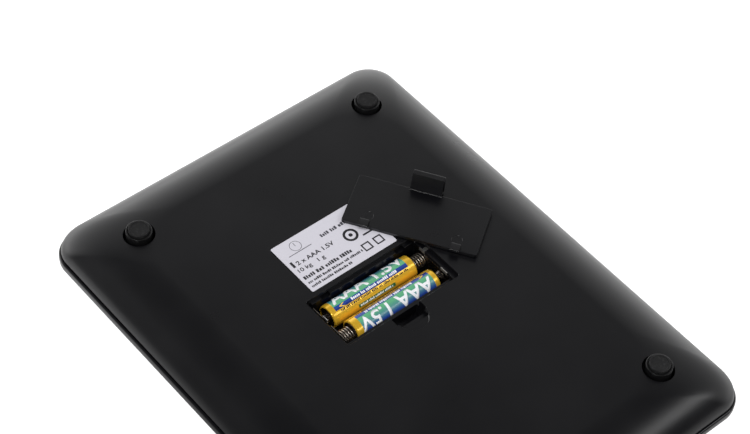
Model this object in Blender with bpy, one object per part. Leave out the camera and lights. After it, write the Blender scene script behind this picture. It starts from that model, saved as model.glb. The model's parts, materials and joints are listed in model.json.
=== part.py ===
"""Slim electronic kitchen scale on four load-cell feet, lying on its weighing glass with its underside up.

The battery cover is off and lies, inner face up, on the underside beside the open battery bay.
Metres, +Z up. The origin is the middle of the weighing glass's outer face, which is the lowest face.
X runs along the batteries, -Y is the front edge, where the display is.
"""

from math import acos, ceil, cos, pi, radians, sin

import bmesh
import bpy
from mathutils import Matrix, Vector

MM = 0.001

# ---------------------------------------------------------------- driving sizes
BASE_X = 174 * MM  # base shell, overall, at its rim
BASE_Y = 230 * MM
GLASS_OVERHANG = 1.0 * MM  # the glass stands out this far past the rim
GLASS_T = 4.0 * MM
TAPE_T = 0.7 * MM
SHELL_WALL = 2.0 * MM
RIM_RADIUS = 12 * MM  # plan corner radius at the rim
FLAT_RADIUS = 24 * MM  # plan corner radius of the flat underside
CURVE = 24 * MM  # width of the curved margin round the flat underside
FLANGE_W = 7.0 * MM  # bonding flange inside the rim
FLANGE_T = 1.5 * MM
GAP = 0.3 * MM  # seat clearance between separate pieces
FIT = 0.1 * MM  # clearance between thin flat pieces

# feet and load cells
FOOT_INSET = (26.6 * MM, 26.0 * MM)  # rim to foot centre, along X and Y
FOOT_HOLE_R = 6.6 * MM
CUP_R = 5.45 * MM
CUP_STAND = 2.1 * MM  # foot cup above the flat underside
PAD_R = 4.4 * MM
PAD_STAND = 1.2 * MM  # rubber pad above the cup's rim
PAD_SUNK = 1.0 * MM
FOOT_TRAVEL = 0.4 * MM
STEM_R = 1.6 * MM
STEM_BELOW = 1.5 * MM  # stem past the far face of the cell's tongue
CELL_SIDE = 26 * MM
CELL_T = 1.2 * MM
CELL_FRAME_W = 4.0 * MM
CELL_TONGUE_W = 9.0 * MM
CARRIER_H = 3.6 * MM
CARRIER_WALL = 1.8 * MM

# battery bay, seen from the open side; depths are measured down from the underside
BAY_Y = 7 * MM  # bay centre, from the middle of the scale
LEDGE_X = 1.65 * MM  # how far the cover reaches past the bay at each end
LEDGE_Y = 1.85 * MM
COVER_T = 1.7 * MM
COVER_GAP = 0.3 * MM  # all round the closed cover
LEDGE_DEPTH = 1.9 * MM
LEDGE_T = 2.2 * MM
CELL_LENGTH = 44.5 * MM  # AAA, over the nub
CELL_R = 5.15 * MM
NUB_R = 1.9 * MM
NUB_H = 0.9 * MM
CELL_SPACING = 1.1 * MM  # between the two batteries
CELL_BELOW_LEDGE = 0.25 * MM
CELL_SHIFT = 1.9 * MM  # each battery is this far towards its positive end
PAIR_SHIFT_Y = 0.8 * MM  # the pair sits this far towards the cover's tab slots
CONTACT_ROOM = 9.9 * MM  # inside length of the bay, less the battery's
BAY_SIDE_GAP = 0.45 * MM
BAY_WALL = 1.3 * MM
BAY_FLOOR = 1.0 * MM
BAY_ABOVE_GLASS = 0.25 * MM

# cover tabs, latch and the notch that takes the latch
TAB_X = 19.5 * MM
TAB_W = 4.0 * MM
TAB_REACH = 1.2 * MM
TAB_H = 1.2 * MM
TAB_ROOT = 1.9 * MM
LATCH_W = 13.6 * MM
LATCH_H = 7.3 * MM
LATCH_T = 0.9 * MM
LATCH_INSET = 0.7 * MM  # cover's edge to the face of the latch's front leg
LATCH_LEAN = 2.3 * MM  # the front leg's foot to its top, outwards
LATCH_SPREAD = 5.0 * MM  # front leg's face to the free arm's outer face, at the foot
LATCH_CATCH = 0.5 * MM
LATCH_CATCH_AT = 2.3 * MM  # cover's inner face to the catch's holding edge
NOTCH_CLEAR = 0.3 * MM
NOTCH_SIDE_CLEAR = 0.8 * MM
CATCH_POCKET_H = 2.2 * MM
BEND_H = 1.5 * MM
ARM_END = 0.5 * MM  # the free arm's end, from the cover's outer face
FINGER_W = 13 * MM
FINGER_REACH = 2.9 * MM
FINGER_DEPTH = 3.0 * MM
SCOOP_R = 6.8 * MM
SCOOP_DEPTH = 0.9 * MM

# where the loose cover lies on the underside
COVER_AT = (35.4 * MM, 27.0 * MM)
COVER_TURN = radians(-57.0)

# contacts
PLATE_T = 0.4 * MM
PLATE_H = 9.6 * MM
PLATE_W = 9.4 * MM
DOME_R = 2.6 * MM
SPRING_WIRE_R = 0.3 * MM
SPRING_R = 2.9 * MM
SPRING_TURNS = 5

# label
LABEL_X = 44.4 * MM
LABEL_Y = 27.4 * MM
LABEL_T = 0.15 * MM
LABEL_POCKET = 0.15 * MM
LABEL_SHIFT_X = -1.3 * MM
LABEL_FROM_BAY = 2.25 * MM

# electronics at the front edge
BOARD_X = 78 * MM
BOARD_Y = 34 * MM
BOARD_T = 1.6 * MM
BOARD_FROM_FRONT = 53 * MM  # front edge to the board's middle
BOARD_ABOVE_GLASS = 5.6 * MM
BOSS_R = 2.6 * MM
SCREW_R = 1.0 * MM
SCREW_HEAD_R = 2.0 * MM
SCREW_HEAD_H = 1.2 * MM
SCREW_L = 5.0 * MM
SCREW_INSET = 3.6 * MM
LCD_X = 48 * MM
LCD_Y = 20 * MM
LCD_T = 1.8 * MM
LIGHT_T = 1.6 * MM
HOLDER_WALL = 1.2 * MM
CHIP_SIDE = 10 * MM
CHIP_T = 1.4 * MM
CHIP_AT_X = -16 * MM
SOCKET_AT_X = 16.5 * MM
SOCKET_HALF = (10 * MM, 3 * MM)
SOCKET_H = 2.6 * MM
TOUCH_X = 32 * MM
TOUCH_R = 2.6 * MM
TOUCH_TURNS = 3
MASK_T = 0.1 * MM
LEAD_R = 0.6 * MM
LEAD_CLEAR = 0.3 * MM
LEAD_ABOVE_FLOOR = 2.0 * MM

ROUND = 24  # sides of round pieces
WIRE_DETAIL = 1  # gives a wire six sides
FINE_ROUND = 32

# ---------------------------------------------------------------- levels that follow
GLASS_TOP = GLASS_T
RIM_Z = GLASS_TOP + TAPE_T + 2 * FIT
CELL_DEPTH = LEDGE_DEPTH + CELL_BELOW_LEDGE + CELL_R
CELL_PITCH = 2 * CELL_R + CELL_SPACING
UNDER_Z = GLASS_TOP + BAY_ABOVE_GLASS + BAY_FLOOR + GAP + CELL_R + CELL_DEPTH
SHELL_H = UNDER_Z - RIM_Z
CEILING_Z = UNDER_Z - SHELL_WALL
BASE_HALF = (BASE_X / 2, BASE_Y / 2)
BAY_X = CELL_LENGTH + CONTACT_ROOM
BAY_HALF_Y = CELL_PITCH / 2 + CELL_R + BAY_SIDE_GAP
COVER_X = BAY_X + 2 * LEDGE_X
COVER_Y = 2 * (BAY_HALF_Y + LEDGE_Y)
OPENING = (COVER_X / 2 + COVER_GAP, COVER_Y / 2 + COVER_GAP)
LEDGE_Z = UNDER_Z - LEDGE_DEPTH
CELL_Z = UNDER_Z - CELL_DEPTH
BAY_FLOOR_Z = CELL_Z - CELL_R - GAP
BAY_MID_Y = BAY_Y + PAIR_SHIFT_Y
LABEL_AT = (LABEL_SHIFT_X, BAY_Y + OPENING[1] + LABEL_FROM_BAY + LABEL_Y / 2)
BOARD_AT_Y = BOARD_FROM_FRONT - BASE_HALF[1]
FEET = [
    (sx * (BASE_HALF[0] - FOOT_INSET[0]), sy * (BASE_HALF[1] - FOOT_INSET[1]))
    for sy in (-1, 1)
    for sx in (-1, 1)
]
CORNERS = ("front_left", "front_right", "rear_left", "rear_right")
CARRIER_TOP = GLASS_TOP + 2 * FIT + CARRIER_H
CELL_PLATE_Z = CARRIER_TOP + FIT
BATTERY_LEAD_Z = BAY_FLOOR_Z + LEAD_ABOVE_FLOOR
BOARD_Z = GLASS_TOP + BOARD_ABOVE_GLASS
LATCH_FACE_Y = COVER_Y / 2 - LATCH_INSET
NOTCH_HALF_X = LATCH_W / 2 + NOTCH_SIDE_CLEAR
NOTCH_FAR = LATCH_FACE_Y + LATCH_SPREAD + NOTCH_CLEAR
NOTCH_DEPTH = COVER_T + LATCH_H + 0.6 * MM


# ---------------------------------------------------------------- helpers
def material(name, colour, roughness, metallic=0.0):
    made = bpy.data.materials.new(name)
    made.use_nodes = True
    shader = made.node_tree.nodes["Principled BSDF"]
    shader.inputs["Base Color"].default_value = (*colour, 1.0)
    shader.inputs["Roughness"].default_value = roughness
    shader.inputs["Metallic"].default_value = metallic
    return made


def add(name, bm, mat=None, smooth=False):
    """Turns a bmesh into an object of that name, with its faces pointing out."""
    bmesh.ops.recalc_face_normals(bm, faces=bm.faces)
    mesh = bpy.data.meshes.new(name)
    bm.to_mesh(mesh)
    bm.free()
    made = bpy.data.objects.new(name, mesh)
    bpy.context.scene.collection.objects.link(made)
    if mat:
        mesh.materials.append(mat)
    if smooth:
        mesh.shade_smooth()
        mesh.set_sharp_from_angle(angle=radians(35))
    return made


def helper(name, bm):
    """A cutter or a shape to join: it isn't a piece of the scale."""
    made = add(name, bm)
    made.hide_render = True
    made.display_type = "WIRE"
    return made


def boolean(target, other, operation="DIFFERENCE"):
    modifier = target.modifiers.new(other.name, "BOOLEAN")
    modifier.operation = operation
    modifier.solver = "EXACT"
    modifier.object = other


def box(low, high):
    bm = bmesh.new()
    size = Vector(high) - Vector(low)
    middle = (Vector(high) + Vector(low)) / 2
    bmesh.ops.create_cube(bm, size=1.0, matrix=Matrix.Translation(middle) @ Matrix.Diagonal((*size, 1.0)))
    return bm


def rod(x, y, z_low, z_high, radius, sides=ROUND):
    bm = bmesh.new()
    middle = Matrix.Translation((x, y, (z_low + z_high) / 2))
    bmesh.ops.create_cone(
        bm, cap_ends=True, segments=sides, radius1=radius, radius2=radius, depth=z_high - z_low, matrix=middle
    )
    return bm


def turned(profile, sides=ROUND):
    """Spins (radius, height) points, the first and last on the axis, round +Z."""
    bm = bmesh.new()
    points = [bm.verts.new((r, 0, z)) for r, z in profile]
    edges = [bm.edges.new(pair) for pair in zip(points, points[1:])]
    bmesh.ops.spin(
        bm, geom=points + edges, axis=(0, 0, 1), cent=(0, 0, 0), angle=2 * pi, steps=sides, use_merge=True
    )
    bmesh.ops.remove_doubles(bm, verts=bm.verts, dist=1e-6)
    return bm


def rounded_ring(bm, half, radius, z, at=(0, 0), steps=6):
    """A loop of vertices round a rectangle with round corners."""
    loop = []
    for quarter in range(4):
        sx, sy = ((1, 1), (-1, 1), (-1, -1), (1, -1))[quarter]
        cx = at[0] + sx * (half[0] - radius)
        cy = at[1] + sy * (half[1] - radius)
        for k in range(steps + 1):
            angle = (quarter + k / steps) * pi / 2
            loop.append(bm.verts.new((cx + radius * cos(angle), cy + radius * sin(angle), z)))
    return loop


def lofted(rings):
    """A closed body through loops given as (half sizes, corner radius, height, centre)."""
    bm = bmesh.new()
    loops = [rounded_ring(bm, *ring) for ring in rings]
    for low, high in zip(loops, loops[1:]):
        count = len(low)
        for k in range(count):
            bm.faces.new((low[k], low[(k + 1) % count], high[(k + 1) % count], high[k]))
    bm.faces.new(loops[0][::-1])
    bm.faces.new(loops[-1])
    return bm


def slab(half, radius, z_low, z_high, at=(0, 0)):
    return lofted([(half, radius, z_low, at), (half, radius, z_high, at)])


def extruded(outline, x_low, x_high):
    """A (y, z) outline carried from x_low to x_high."""
    bm = bmesh.new()
    face = bm.faces.new([bm.verts.new((x_low, y, z)) for y, z in outline])
    moved = bmesh.ops.extrude_face_region(bm, geom=[face])["geom"]
    bmesh.ops.translate(
        bm, vec=(x_high - x_low, 0, 0), verts=[v for v in moved if isinstance(v, bmesh.types.BMVert)]
    )
    return bm


def inset(half, amount):
    return (half[0] - amount, half[1] - amount)


def tube(name, points, radius, mat):
    """A wire along the points, with closed ends."""
    curve = bpy.data.curves.new(name, "CURVE")
    curve.dimensions = "3D"
    curve.bevel_depth = radius
    curve.bevel_resolution = WIRE_DETAIL
    curve.use_fill_caps = True
    spline = curve.splines.new("POLY")
    spline.points.add(len(points) - 1)
    for point, place in zip(spline.points, points):
        point.co = (*place, 1.0)
    made = bpy.data.objects.new(name, curve)
    bpy.context.scene.collection.objects.link(made)
    curve.materials.append(mat)
    return made


def smooth_route(knots, spacing):
    """Points along a smooth curve through the knots, about spacing apart."""
    knots = [Vector(k) for k in knots]
    ends = [2 * knots[0] - knots[1], *knots, 2 * knots[-1] - knots[-2]]
    points = []
    for before, a, b, after in zip(ends, ends[1:], ends[2:], ends[3:]):
        count = max(2, ceil((b - a).length / spacing))
        for k in range(count):
            t = k / count
            points.append(
                0.5 * (2 * a + (b - before) * t + (2 * before - 5 * a + 4 * b - after) * t**2
                       + (3 * a - before - 3 * b + after) * t**3)
            )
    return [*points, knots[-1]]


# ---------------------------------------------------------------- casing
def crowned_rings(half, margin, height, z_low, wall):
    """Rings of the pillow-shaped shell: a quarter ellipse from the rim up to the flat face."""
    steps = 7
    rings = []
    for k in range(steps + 1):
        rise = k / steps * pi / 2
        share = 1 - cos(rise)
        radius = RIM_RADIUS - wall + (FLAT_RADIUS - RIM_RADIUS) * share
        rings.append((inset(half, margin * share), radius, z_low + height * sin(rise), (0, 0)))
    return rings


def base_shell(mat):
    shell = add("base_shell", lofted(crowned_rings(BASE_HALF, CURVE, SHELL_H, RIM_Z, 0)), mat, smooth=True)
    cavity_half = inset(BASE_HALF, SHELL_WALL)
    flange_z = RIM_Z + FLANGE_T
    cavity = lofted(
        crowned_rings(cavity_half, CURVE - SHELL_WALL / 2, CEILING_Z - flange_z, flange_z, SHELL_WALL)
    )
    boolean(shell, helper("cut_cavity", cavity))
    mouth = slab(inset(BASE_HALF, FLANGE_W), RIM_RADIUS - FLANGE_W / 2, RIM_Z - 1 * MM, flange_z + 1 * MM)
    boolean(shell, helper("cut_mouth", mouth))

    lap = SHELL_WALL / 2  # solids that are joined reach this far into each other
    ledge = box(
        (-OPENING[0] - BAY_WALL, BAY_Y - OPENING[1] - BAY_WALL, LEDGE_Z - LEDGE_T),
        (OPENING[0] + BAY_WALL, BAY_Y + OPENING[1] + BAY_WALL + TAB_REACH, CEILING_Z + lap),
    )
    boolean(shell, helper("join_ledge", ledge), "UNION")
    well = box(
        (-BAY_X / 2 - BAY_WALL, BAY_MID_Y - BAY_HALF_Y - BAY_WALL, BAY_FLOOR_Z - BAY_FLOOR),
        (BAY_X / 2 + BAY_WALL, BAY_MID_Y + BAY_HALF_Y + BAY_WALL, LEDGE_Z - LEDGE_T + lap),
    )
    boolean(shell, helper("join_well", well), "UNION")
    notch_y = BAY_Y - NOTCH_FAR
    notch_block = box(
        (-NOTCH_HALF_X - BAY_WALL, notch_y - FINGER_REACH - BAY_WALL, UNDER_Z - NOTCH_DEPTH - BAY_FLOOR),
        (NOTCH_HALF_X + BAY_WALL, BAY_MID_Y - BAY_HALF_Y, CEILING_Z + lap),
    )
    boolean(shell, helper("join_notch_block", notch_block), "UNION")
    for k, (x, y) in enumerate(board_screw_places()):
        boss = rod(x, y, BOARD_Z + BOARD_T + GAP, CEILING_Z + lap, BOSS_R, 12)
        boolean(shell, helper(f"join_boss_{k + 1}", boss), "UNION")
        hole = rod(x, y, BOARD_Z, BOARD_Z + BOARD_T + SCREW_L, SCREW_R + 0.05 * MM, 12)
        boolean(shell, helper(f"cut_boss_{k + 1}", hole))

    above = UNDER_Z + 1 * MM
    opening = slab(OPENING, 1 * MM, LEDGE_Z, above, (0, BAY_Y))
    boolean(shell, helper("cut_opening", opening))
    bay = box(
        (-BAY_X / 2, BAY_MID_Y - BAY_HALF_Y, BAY_FLOOR_Z),
        (BAY_X / 2, BAY_MID_Y + BAY_HALF_Y, LEDGE_Z + lap),
    )
    boolean(shell, helper("cut_bay", bay))
    notch = box(
        (-NOTCH_HALF_X, notch_y, UNDER_Z - NOTCH_DEPTH),
        (NOTCH_HALF_X, BAY_Y - LATCH_FACE_Y + NOTCH_CLEAR, above),
    )
    boolean(shell, helper("cut_notch", notch))
    finger = box(
        (-FINGER_W / 2, notch_y - FINGER_REACH, UNDER_Z - FINGER_DEPTH), (FINGER_W / 2, notch_y + lap, above)
    )
    boolean(shell, helper("cut_finger_recess", finger))
    catch_top = UNDER_Z - COVER_T - LATCH_CATCH_AT + GAP
    catch = box(
        (-NOTCH_HALF_X, notch_y - LATCH_CATCH, catch_top - CATCH_POCKET_H),
        (NOTCH_HALF_X, notch_y + lap, catch_top),
    )
    boolean(shell, helper("cut_catch_pocket", catch))
    ball_r = (SCOOP_R**2 + SCOOP_DEPTH**2) / (2 * SCOOP_DEPTH)
    steps = 4
    angles = [acos(1 - SCOOP_DEPTH / ball_r) * k / steps for k in range(steps + 1)]
    dish = [(ball_r * sin(a), -ball_r * cos(a)) for a in angles]
    scoop = turned([*dish, (SCOOP_R, 0), (0, 0)], FINE_ROUND)
    bmesh.ops.translate(scoop, vec=(0, notch_y, UNDER_Z + ball_r - SCOOP_DEPTH), verts=scoop.verts)
    boolean(shell, helper("cut_scoop", scoop))

    for side in (-1, 1):
        slot_x = side * TAB_X
        slot_half = TAB_W / 2 + GAP
        slot_top = UNDER_Z - COVER_T + FIT
        slot = box(
            (slot_x - slot_half, BAY_Y + OPENING[1] - 2 * MM, slot_top - TAB_H - 2 * GAP),
            (slot_x + slot_half, BAY_Y + OPENING[1] + TAB_REACH, slot_top),
        )
        boolean(shell, helper(f"cut_tab_slot_{side + 2}", slot))
    for corner, (x, y) in zip(CORNERS, FEET):
        hole = rod(x, y, CEILING_Z - 4 * MM, above, FOOT_HOLE_R, FINE_ROUND)
        boolean(shell, helper(f"cut_foot_{corner}", hole))
    pocket_half = (LABEL_X / 2 + GAP, LABEL_Y / 2 + GAP)
    boolean(shell, helper("cut_label", slab(pocket_half, 0.5 * MM, UNDER_Z - LABEL_POCKET, above, LABEL_AT)))
    for k, y in enumerate(battery_lead_exits()):
        reach = LEAD_R + LEAD_CLEAR
        low = (-BAY_X / 2 - BAY_WALL - lap, y - reach, BATTERY_LEAD_Z - reach)
        high = (-BAY_X / 2 + lap, y + reach, BATTERY_LEAD_Z + reach)
        boolean(shell, helper(f"cut_lead_hole_{k + 1}", box(low, high)))


def glass_platform(mat, print_mat, tape_mat):
    half = (BASE_HALF[0] + GLASS_OVERHANG, BASE_HALF[1] + GLASS_OVERHANG)
    radius = RIM_RADIUS + GLASS_OVERHANG
    edge = 0.8 * MM  # ground edge
    rings = [
        (inset(half, edge), radius - edge, 0, (0, 0)),
        (inset(half, edge * 0.3), radius - edge * 0.3, edge * 0.3, (0, 0)),
        (half, radius, edge, (0, 0)),
        (half, radius, GLASS_TOP - edge, (0, 0)),
        (inset(half, edge * 0.3), radius - edge * 0.3, GLASS_TOP - edge * 0.3, (0, 0)),
        (inset(half, edge), radius - edge, GLASS_TOP, (0, 0)),
    ]
    add("weighing_glass", lofted(rings), mat, smooth=True)

    tape_z = GLASS_TOP + FIT
    tape_half = inset(BASE_HALF, 0.8 * MM)
    tape = add("bonding_tape", slab(tape_half, RIM_RADIUS - 0.8 * MM, tape_z, tape_z + TAPE_T), tape_mat)
    inner = slab(inset(BASE_HALF, FLANGE_W), RIM_RADIUS - FLANGE_W / 2, tape_z - 1 * MM, tape_z + 2 * MM)
    boolean(tape, helper("cut_tape", inner))

    mask_half = (LCD_X / 2 + 5 * MM, LCD_Y / 2 + 5 * MM)
    mask = add(
        "display_mask",
        slab(mask_half, 2 * MM, GLASS_TOP + FIT, GLASS_TOP + FIT + MASK_T, (0, BOARD_AT_Y)),
        print_mat,
    )
    window_half = (LCD_X / 2 - 2 * MM, LCD_Y / 2 - 2 * MM)
    window = slab(window_half, 1 * MM, GLASS_TOP - MM, GLASS_TOP + MM, (0, BOARD_AT_Y))
    boolean(mask, helper("cut_window", window))


# ---------------------------------------------------------------- feet
def foot(corner, x, y, plastic, rubber, steel, carrier_mat):
    carrier_half = CELL_SIDE / 2 + CARRIER_WALL
    carrier_low = GLASS_TOP + 2 * FIT
    carrier = add(
        f"cell_carrier_{corner}",
        slab((carrier_half, carrier_half), 3 * MM, carrier_low, CARRIER_TOP + CELL_T, (x, y)),
        carrier_mat,
    )
    seat = slab((CELL_SIDE / 2 + FIT,) * 2, 2 * MM, CARRIER_TOP, CARRIER_TOP + 5 * MM, (x, y))
    boolean(carrier, helper(f"cut_seat_{corner}", seat))
    clear = slab((CELL_SIDE / 2 - CELL_FRAME_W,) * 2, 1 * MM, carrier_low - MM, CARRIER_TOP + MM, (x, y))
    boolean(carrier, helper(f"cut_clear_{corner}", clear))

    inward = -1 if y > 0 else 1
    cell = add(
        f"load_cell_{corner}",
        slab((CELL_SIDE / 2,) * 2, 2 * MM, CELL_PLATE_Z, CELL_PLATE_Z + CELL_T, (x, y)),
        steel,
    )
    free = CELL_SIDE / 2 - CELL_FRAME_W
    for side in (-1, 1):
        near = x + side * CELL_TONGUE_W / 2
        far = x + side * free
        slot = box(
            (min(near, far), y - free, CELL_PLATE_Z - MM), (max(near, far), y + free, CELL_PLATE_Z + 2 * MM)
        )
        boolean(cell, helper(f"cut_cell_{corner}_{side + 2}", slot))
    end = y - inward * free
    gap = box(
        (x - CELL_TONGUE_W, min(end, end + inward * 2 * MM), CELL_PLATE_Z - MM),
        (x + CELL_TONGUE_W, max(end, end + inward * 2 * MM), CELL_PLATE_Z + 2 * MM),
    )
    boolean(cell, helper(f"cut_tongue_end_{corner}", gap))
    bore = rod(x, y, CELL_PLATE_Z - MM, CELL_PLATE_Z + 3 * MM, STEM_R + GAP, ROUND)
    boolean(cell, helper(f"cut_stem_{corner}", bore))

    cup_low = CELL_PLATE_Z + CELL_T + FOOT_TRAVEL + GAP
    cup_top = UNDER_Z + CUP_STAND
    stem_low = CELL_PLATE_Z - STEM_BELOW
    socket = cup_top - PAD_SUNK
    profile = [
        (0, stem_low),
        (STEM_R, stem_low),
        (STEM_R, cup_low),
        (CUP_R - 1 * MM, cup_low),
        (CUP_R, cup_low + 1 * MM),
        (CUP_R, cup_top - 0.4 * MM),
        (CUP_R - 0.4 * MM, cup_top),
        (PAD_R + FIT, cup_top),
        (PAD_R + FIT, socket),
        (0, socket),
    ]
    cup = add(f"foot_cup_{corner}", turned(profile), plastic, smooth=True)
    cup.location = (x, y, 0)
    bottom = socket + FIT
    top = cup_top + PAD_STAND
    pad_profile = [(0, bottom), (PAD_R, bottom), (PAD_R, top - 0.4 * MM), (PAD_R - 0.4 * MM, top), (0, top)]
    pad = add(f"foot_pad_{corner}", turned(pad_profile), rubber, smooth=True)
    pad.location = (x, y, 0)


# ---------------------------------------------------------------- batteries and contacts
def battery_places():
    """(name, centre y, direction of the positive end) of the two batteries."""
    return (
        ("battery_rear", BAY_MID_Y + CELL_PITCH / 2, -1),
        ("battery_front", BAY_MID_Y - CELL_PITCH / 2, 1),
    )


def battery_lead_exits():
    return [y for _, y, _ in battery_places()]


def battery(name, y, positive, mat):
    half = CELL_LENGTH / 2
    body_end = half - NUB_H
    edge = 0.5 * MM
    profile = [
        (0, -half),
        (CELL_R - 2 * edge, -half),
        (CELL_R - edge, -half + 0.3 * MM),
        (CELL_R, -half + edge),
        (CELL_R, body_end - edge),
        (CELL_R - edge, body_end),
        (NUB_R, body_end),
        (NUB_R, half - 0.2 * MM),
        (NUB_R - 0.3 * MM, half),
        (0, half),
    ]
    made = add(name, turned(profile, FINE_ROUND), mat, smooth=True)
    made.rotation_euler = (0, positive * pi / 2, 0)
    made.location = (positive * CELL_SHIFT, y, CELL_Z)


def contact_plate(name, side, y_low, y_high, dome_y, mat):
    """A stamped plate against the bay's end wall, pressed out at dome_y to meet a positive nub."""
    outer = side * (BAY_X / 2 - FIT)
    inner = outer - side * PLATE_T
    z_low = BAY_FLOOR_Z + FIT
    plate = add(
        name,
        box((min(outer, inner), y_low, z_low), (max(outer, inner), y_high, z_low + PLATE_H)),
        mat,
    )
    if dome_y is None:
        return
    nub_end = CELL_SHIFT + CELL_LENGTH / 2
    reach = BAY_X / 2 - FIT - nub_end - GAP
    profile = [(0, 0), (DOME_R, 0), (DOME_R * 0.8, reach * 0.7), (DOME_R * 0.5, reach), (0, reach)]
    dome = turned(profile, 16)
    bmesh.ops.transform(
        dome,
        matrix=Matrix.Translation((outer - side * PLATE_T / 2, dome_y, CELL_Z))
        @ Matrix.Rotation(-side * pi / 2, 4, "Y")
        @ Matrix.Diagonal((1, 1, (reach - PLATE_T / 2) / reach, 1)),
        verts=dome.verts,
    )
    boolean(plate, helper(f"join_dome_{name}", dome), "UNION")


def contact_spring(name, side, y, mat):
    """A coil from the end plate to the battery's flat end."""
    start = BAY_X / 2 - FIT - PLATE_T - GAP / 2 - SPRING_WIRE_R
    end = CELL_LENGTH / 2 - CELL_SHIFT + GAP / 2 + SPRING_WIRE_R
    per_turn = 10
    count = SPRING_TURNS * per_turn
    points = []
    for k in range(count + 1):
        along = k / count
        travel = min(max((along * SPRING_TURNS - 0.25) / (SPRING_TURNS - 0.5), 0), 1)
        angle = 2 * pi * along * SPRING_TURNS
        x = side * (start + (end - start) * travel)
        points.append((x, y + SPRING_R * cos(angle), CELL_Z + SPRING_R * sin(angle)))
    tube(name, points, SPRING_WIRE_R, mat)


def contacts(plated, spring_mat):
    (_, rear_y, _), (_, front_y, _) = battery_places()
    contact_plate("contact_bridge", 1, front_y - PLATE_W / 2, rear_y + PLATE_W / 2, front_y, plated)
    contact_plate("contact_positive", -1, rear_y - PLATE_W / 2, rear_y + PLATE_W / 2, rear_y, plated)
    contact_plate("contact_negative", -1, front_y - PLATE_W / 2, front_y + PLATE_W / 2, None, plated)
    contact_spring("contact_spring_rear", 1, rear_y, spring_mat)
    contact_spring("contact_spring_front", -1, front_y, spring_mat)


# ---------------------------------------------------------------- cover
def place_cover(made):
    """From the cover's own frame (outer face at z 0, inner face up, latch at +Y) to where it lies."""
    made.rotation_euler = (0, 0, COVER_TURN)
    made.location = (*COVER_AT, UNDER_Z + GAP)


def latch_outline():
    """The (y, z) outline of the latch: a leaning front leg, a bend and a free arm with its catch."""
    foot_z = COVER_T + GAP
    knee_z = COVER_T + LATCH_H - BEND_H
    knee_y = LATCH_FACE_Y + LATCH_LEAN
    arm_y = LATCH_FACE_Y + LATCH_SPREAD
    middle = (knee_y + arm_y) / 2
    reach = (arm_y - knee_y) / 2
    steps = 8
    turns = [pi * k / steps for k in range(steps + 1)]
    outer = [(middle - reach * cos(a), knee_z + BEND_H * sin(a)) for a in turns]
    inner_reach = reach - LATCH_T
    inner = [(middle + inner_reach * cos(a), knee_z + (BEND_H - LATCH_T) * sin(a)) for a in turns]
    catch_z = COVER_T + LATCH_CATCH_AT
    return [
        (LATCH_FACE_Y, foot_z),
        *outer,
        (arm_y, catch_z + 1.4 * MM),
        (arm_y + LATCH_CATCH, catch_z + 0.2 * MM),
        (arm_y + LATCH_CATCH, catch_z),
        (arm_y, catch_z),
        (arm_y, ARM_END),
        (arm_y - LATCH_T, ARM_END),
        *inner,
        (LATCH_FACE_Y + LATCH_T, foot_z),
    ]


def cover(mat):
    panel = add("cover_panel", slab((COVER_X / 2, COVER_Y / 2), 0.7 * MM, 0, COVER_T), mat, smooth=True)
    pieces = [panel, add("cover_latch", extruded(latch_outline(), -LATCH_W / 2, LATCH_W / 2), mat)]
    for side in (-1, 1):
        y = -COVER_Y / 2
        hook = [
            (y + TAB_ROOT, COVER_T - 0.5 * MM),
            (y + TAB_ROOT, COVER_T + TAB_H),
            (y - TAB_REACH + GAP, COVER_T + TAB_H),
            (y - TAB_REACH + GAP, COVER_T + FIT),
            (y + 0.4 * MM, COVER_T + FIT),
            (y + 0.4 * MM, COVER_T - 0.5 * MM),
        ]
        centre = side * TAB_X
        tab = helper(f"join_tab_{side + 2}", extruded(hook, centre - TAB_W / 2, centre + TAB_W / 2))
        boolean(panel, tab, "UNION")
        pieces.append(tab)
    for piece in pieces:
        place_cover(piece)


# ---------------------------------------------------------------- electronics
def board_screw_places():
    x = BOARD_X / 2 - SCREW_INSET
    y = BOARD_Y / 2 - SCREW_INSET
    return [(sx * x, BOARD_AT_Y + sy * y) for sy in (-1, 1) for sx in (-1, 1)]


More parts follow.
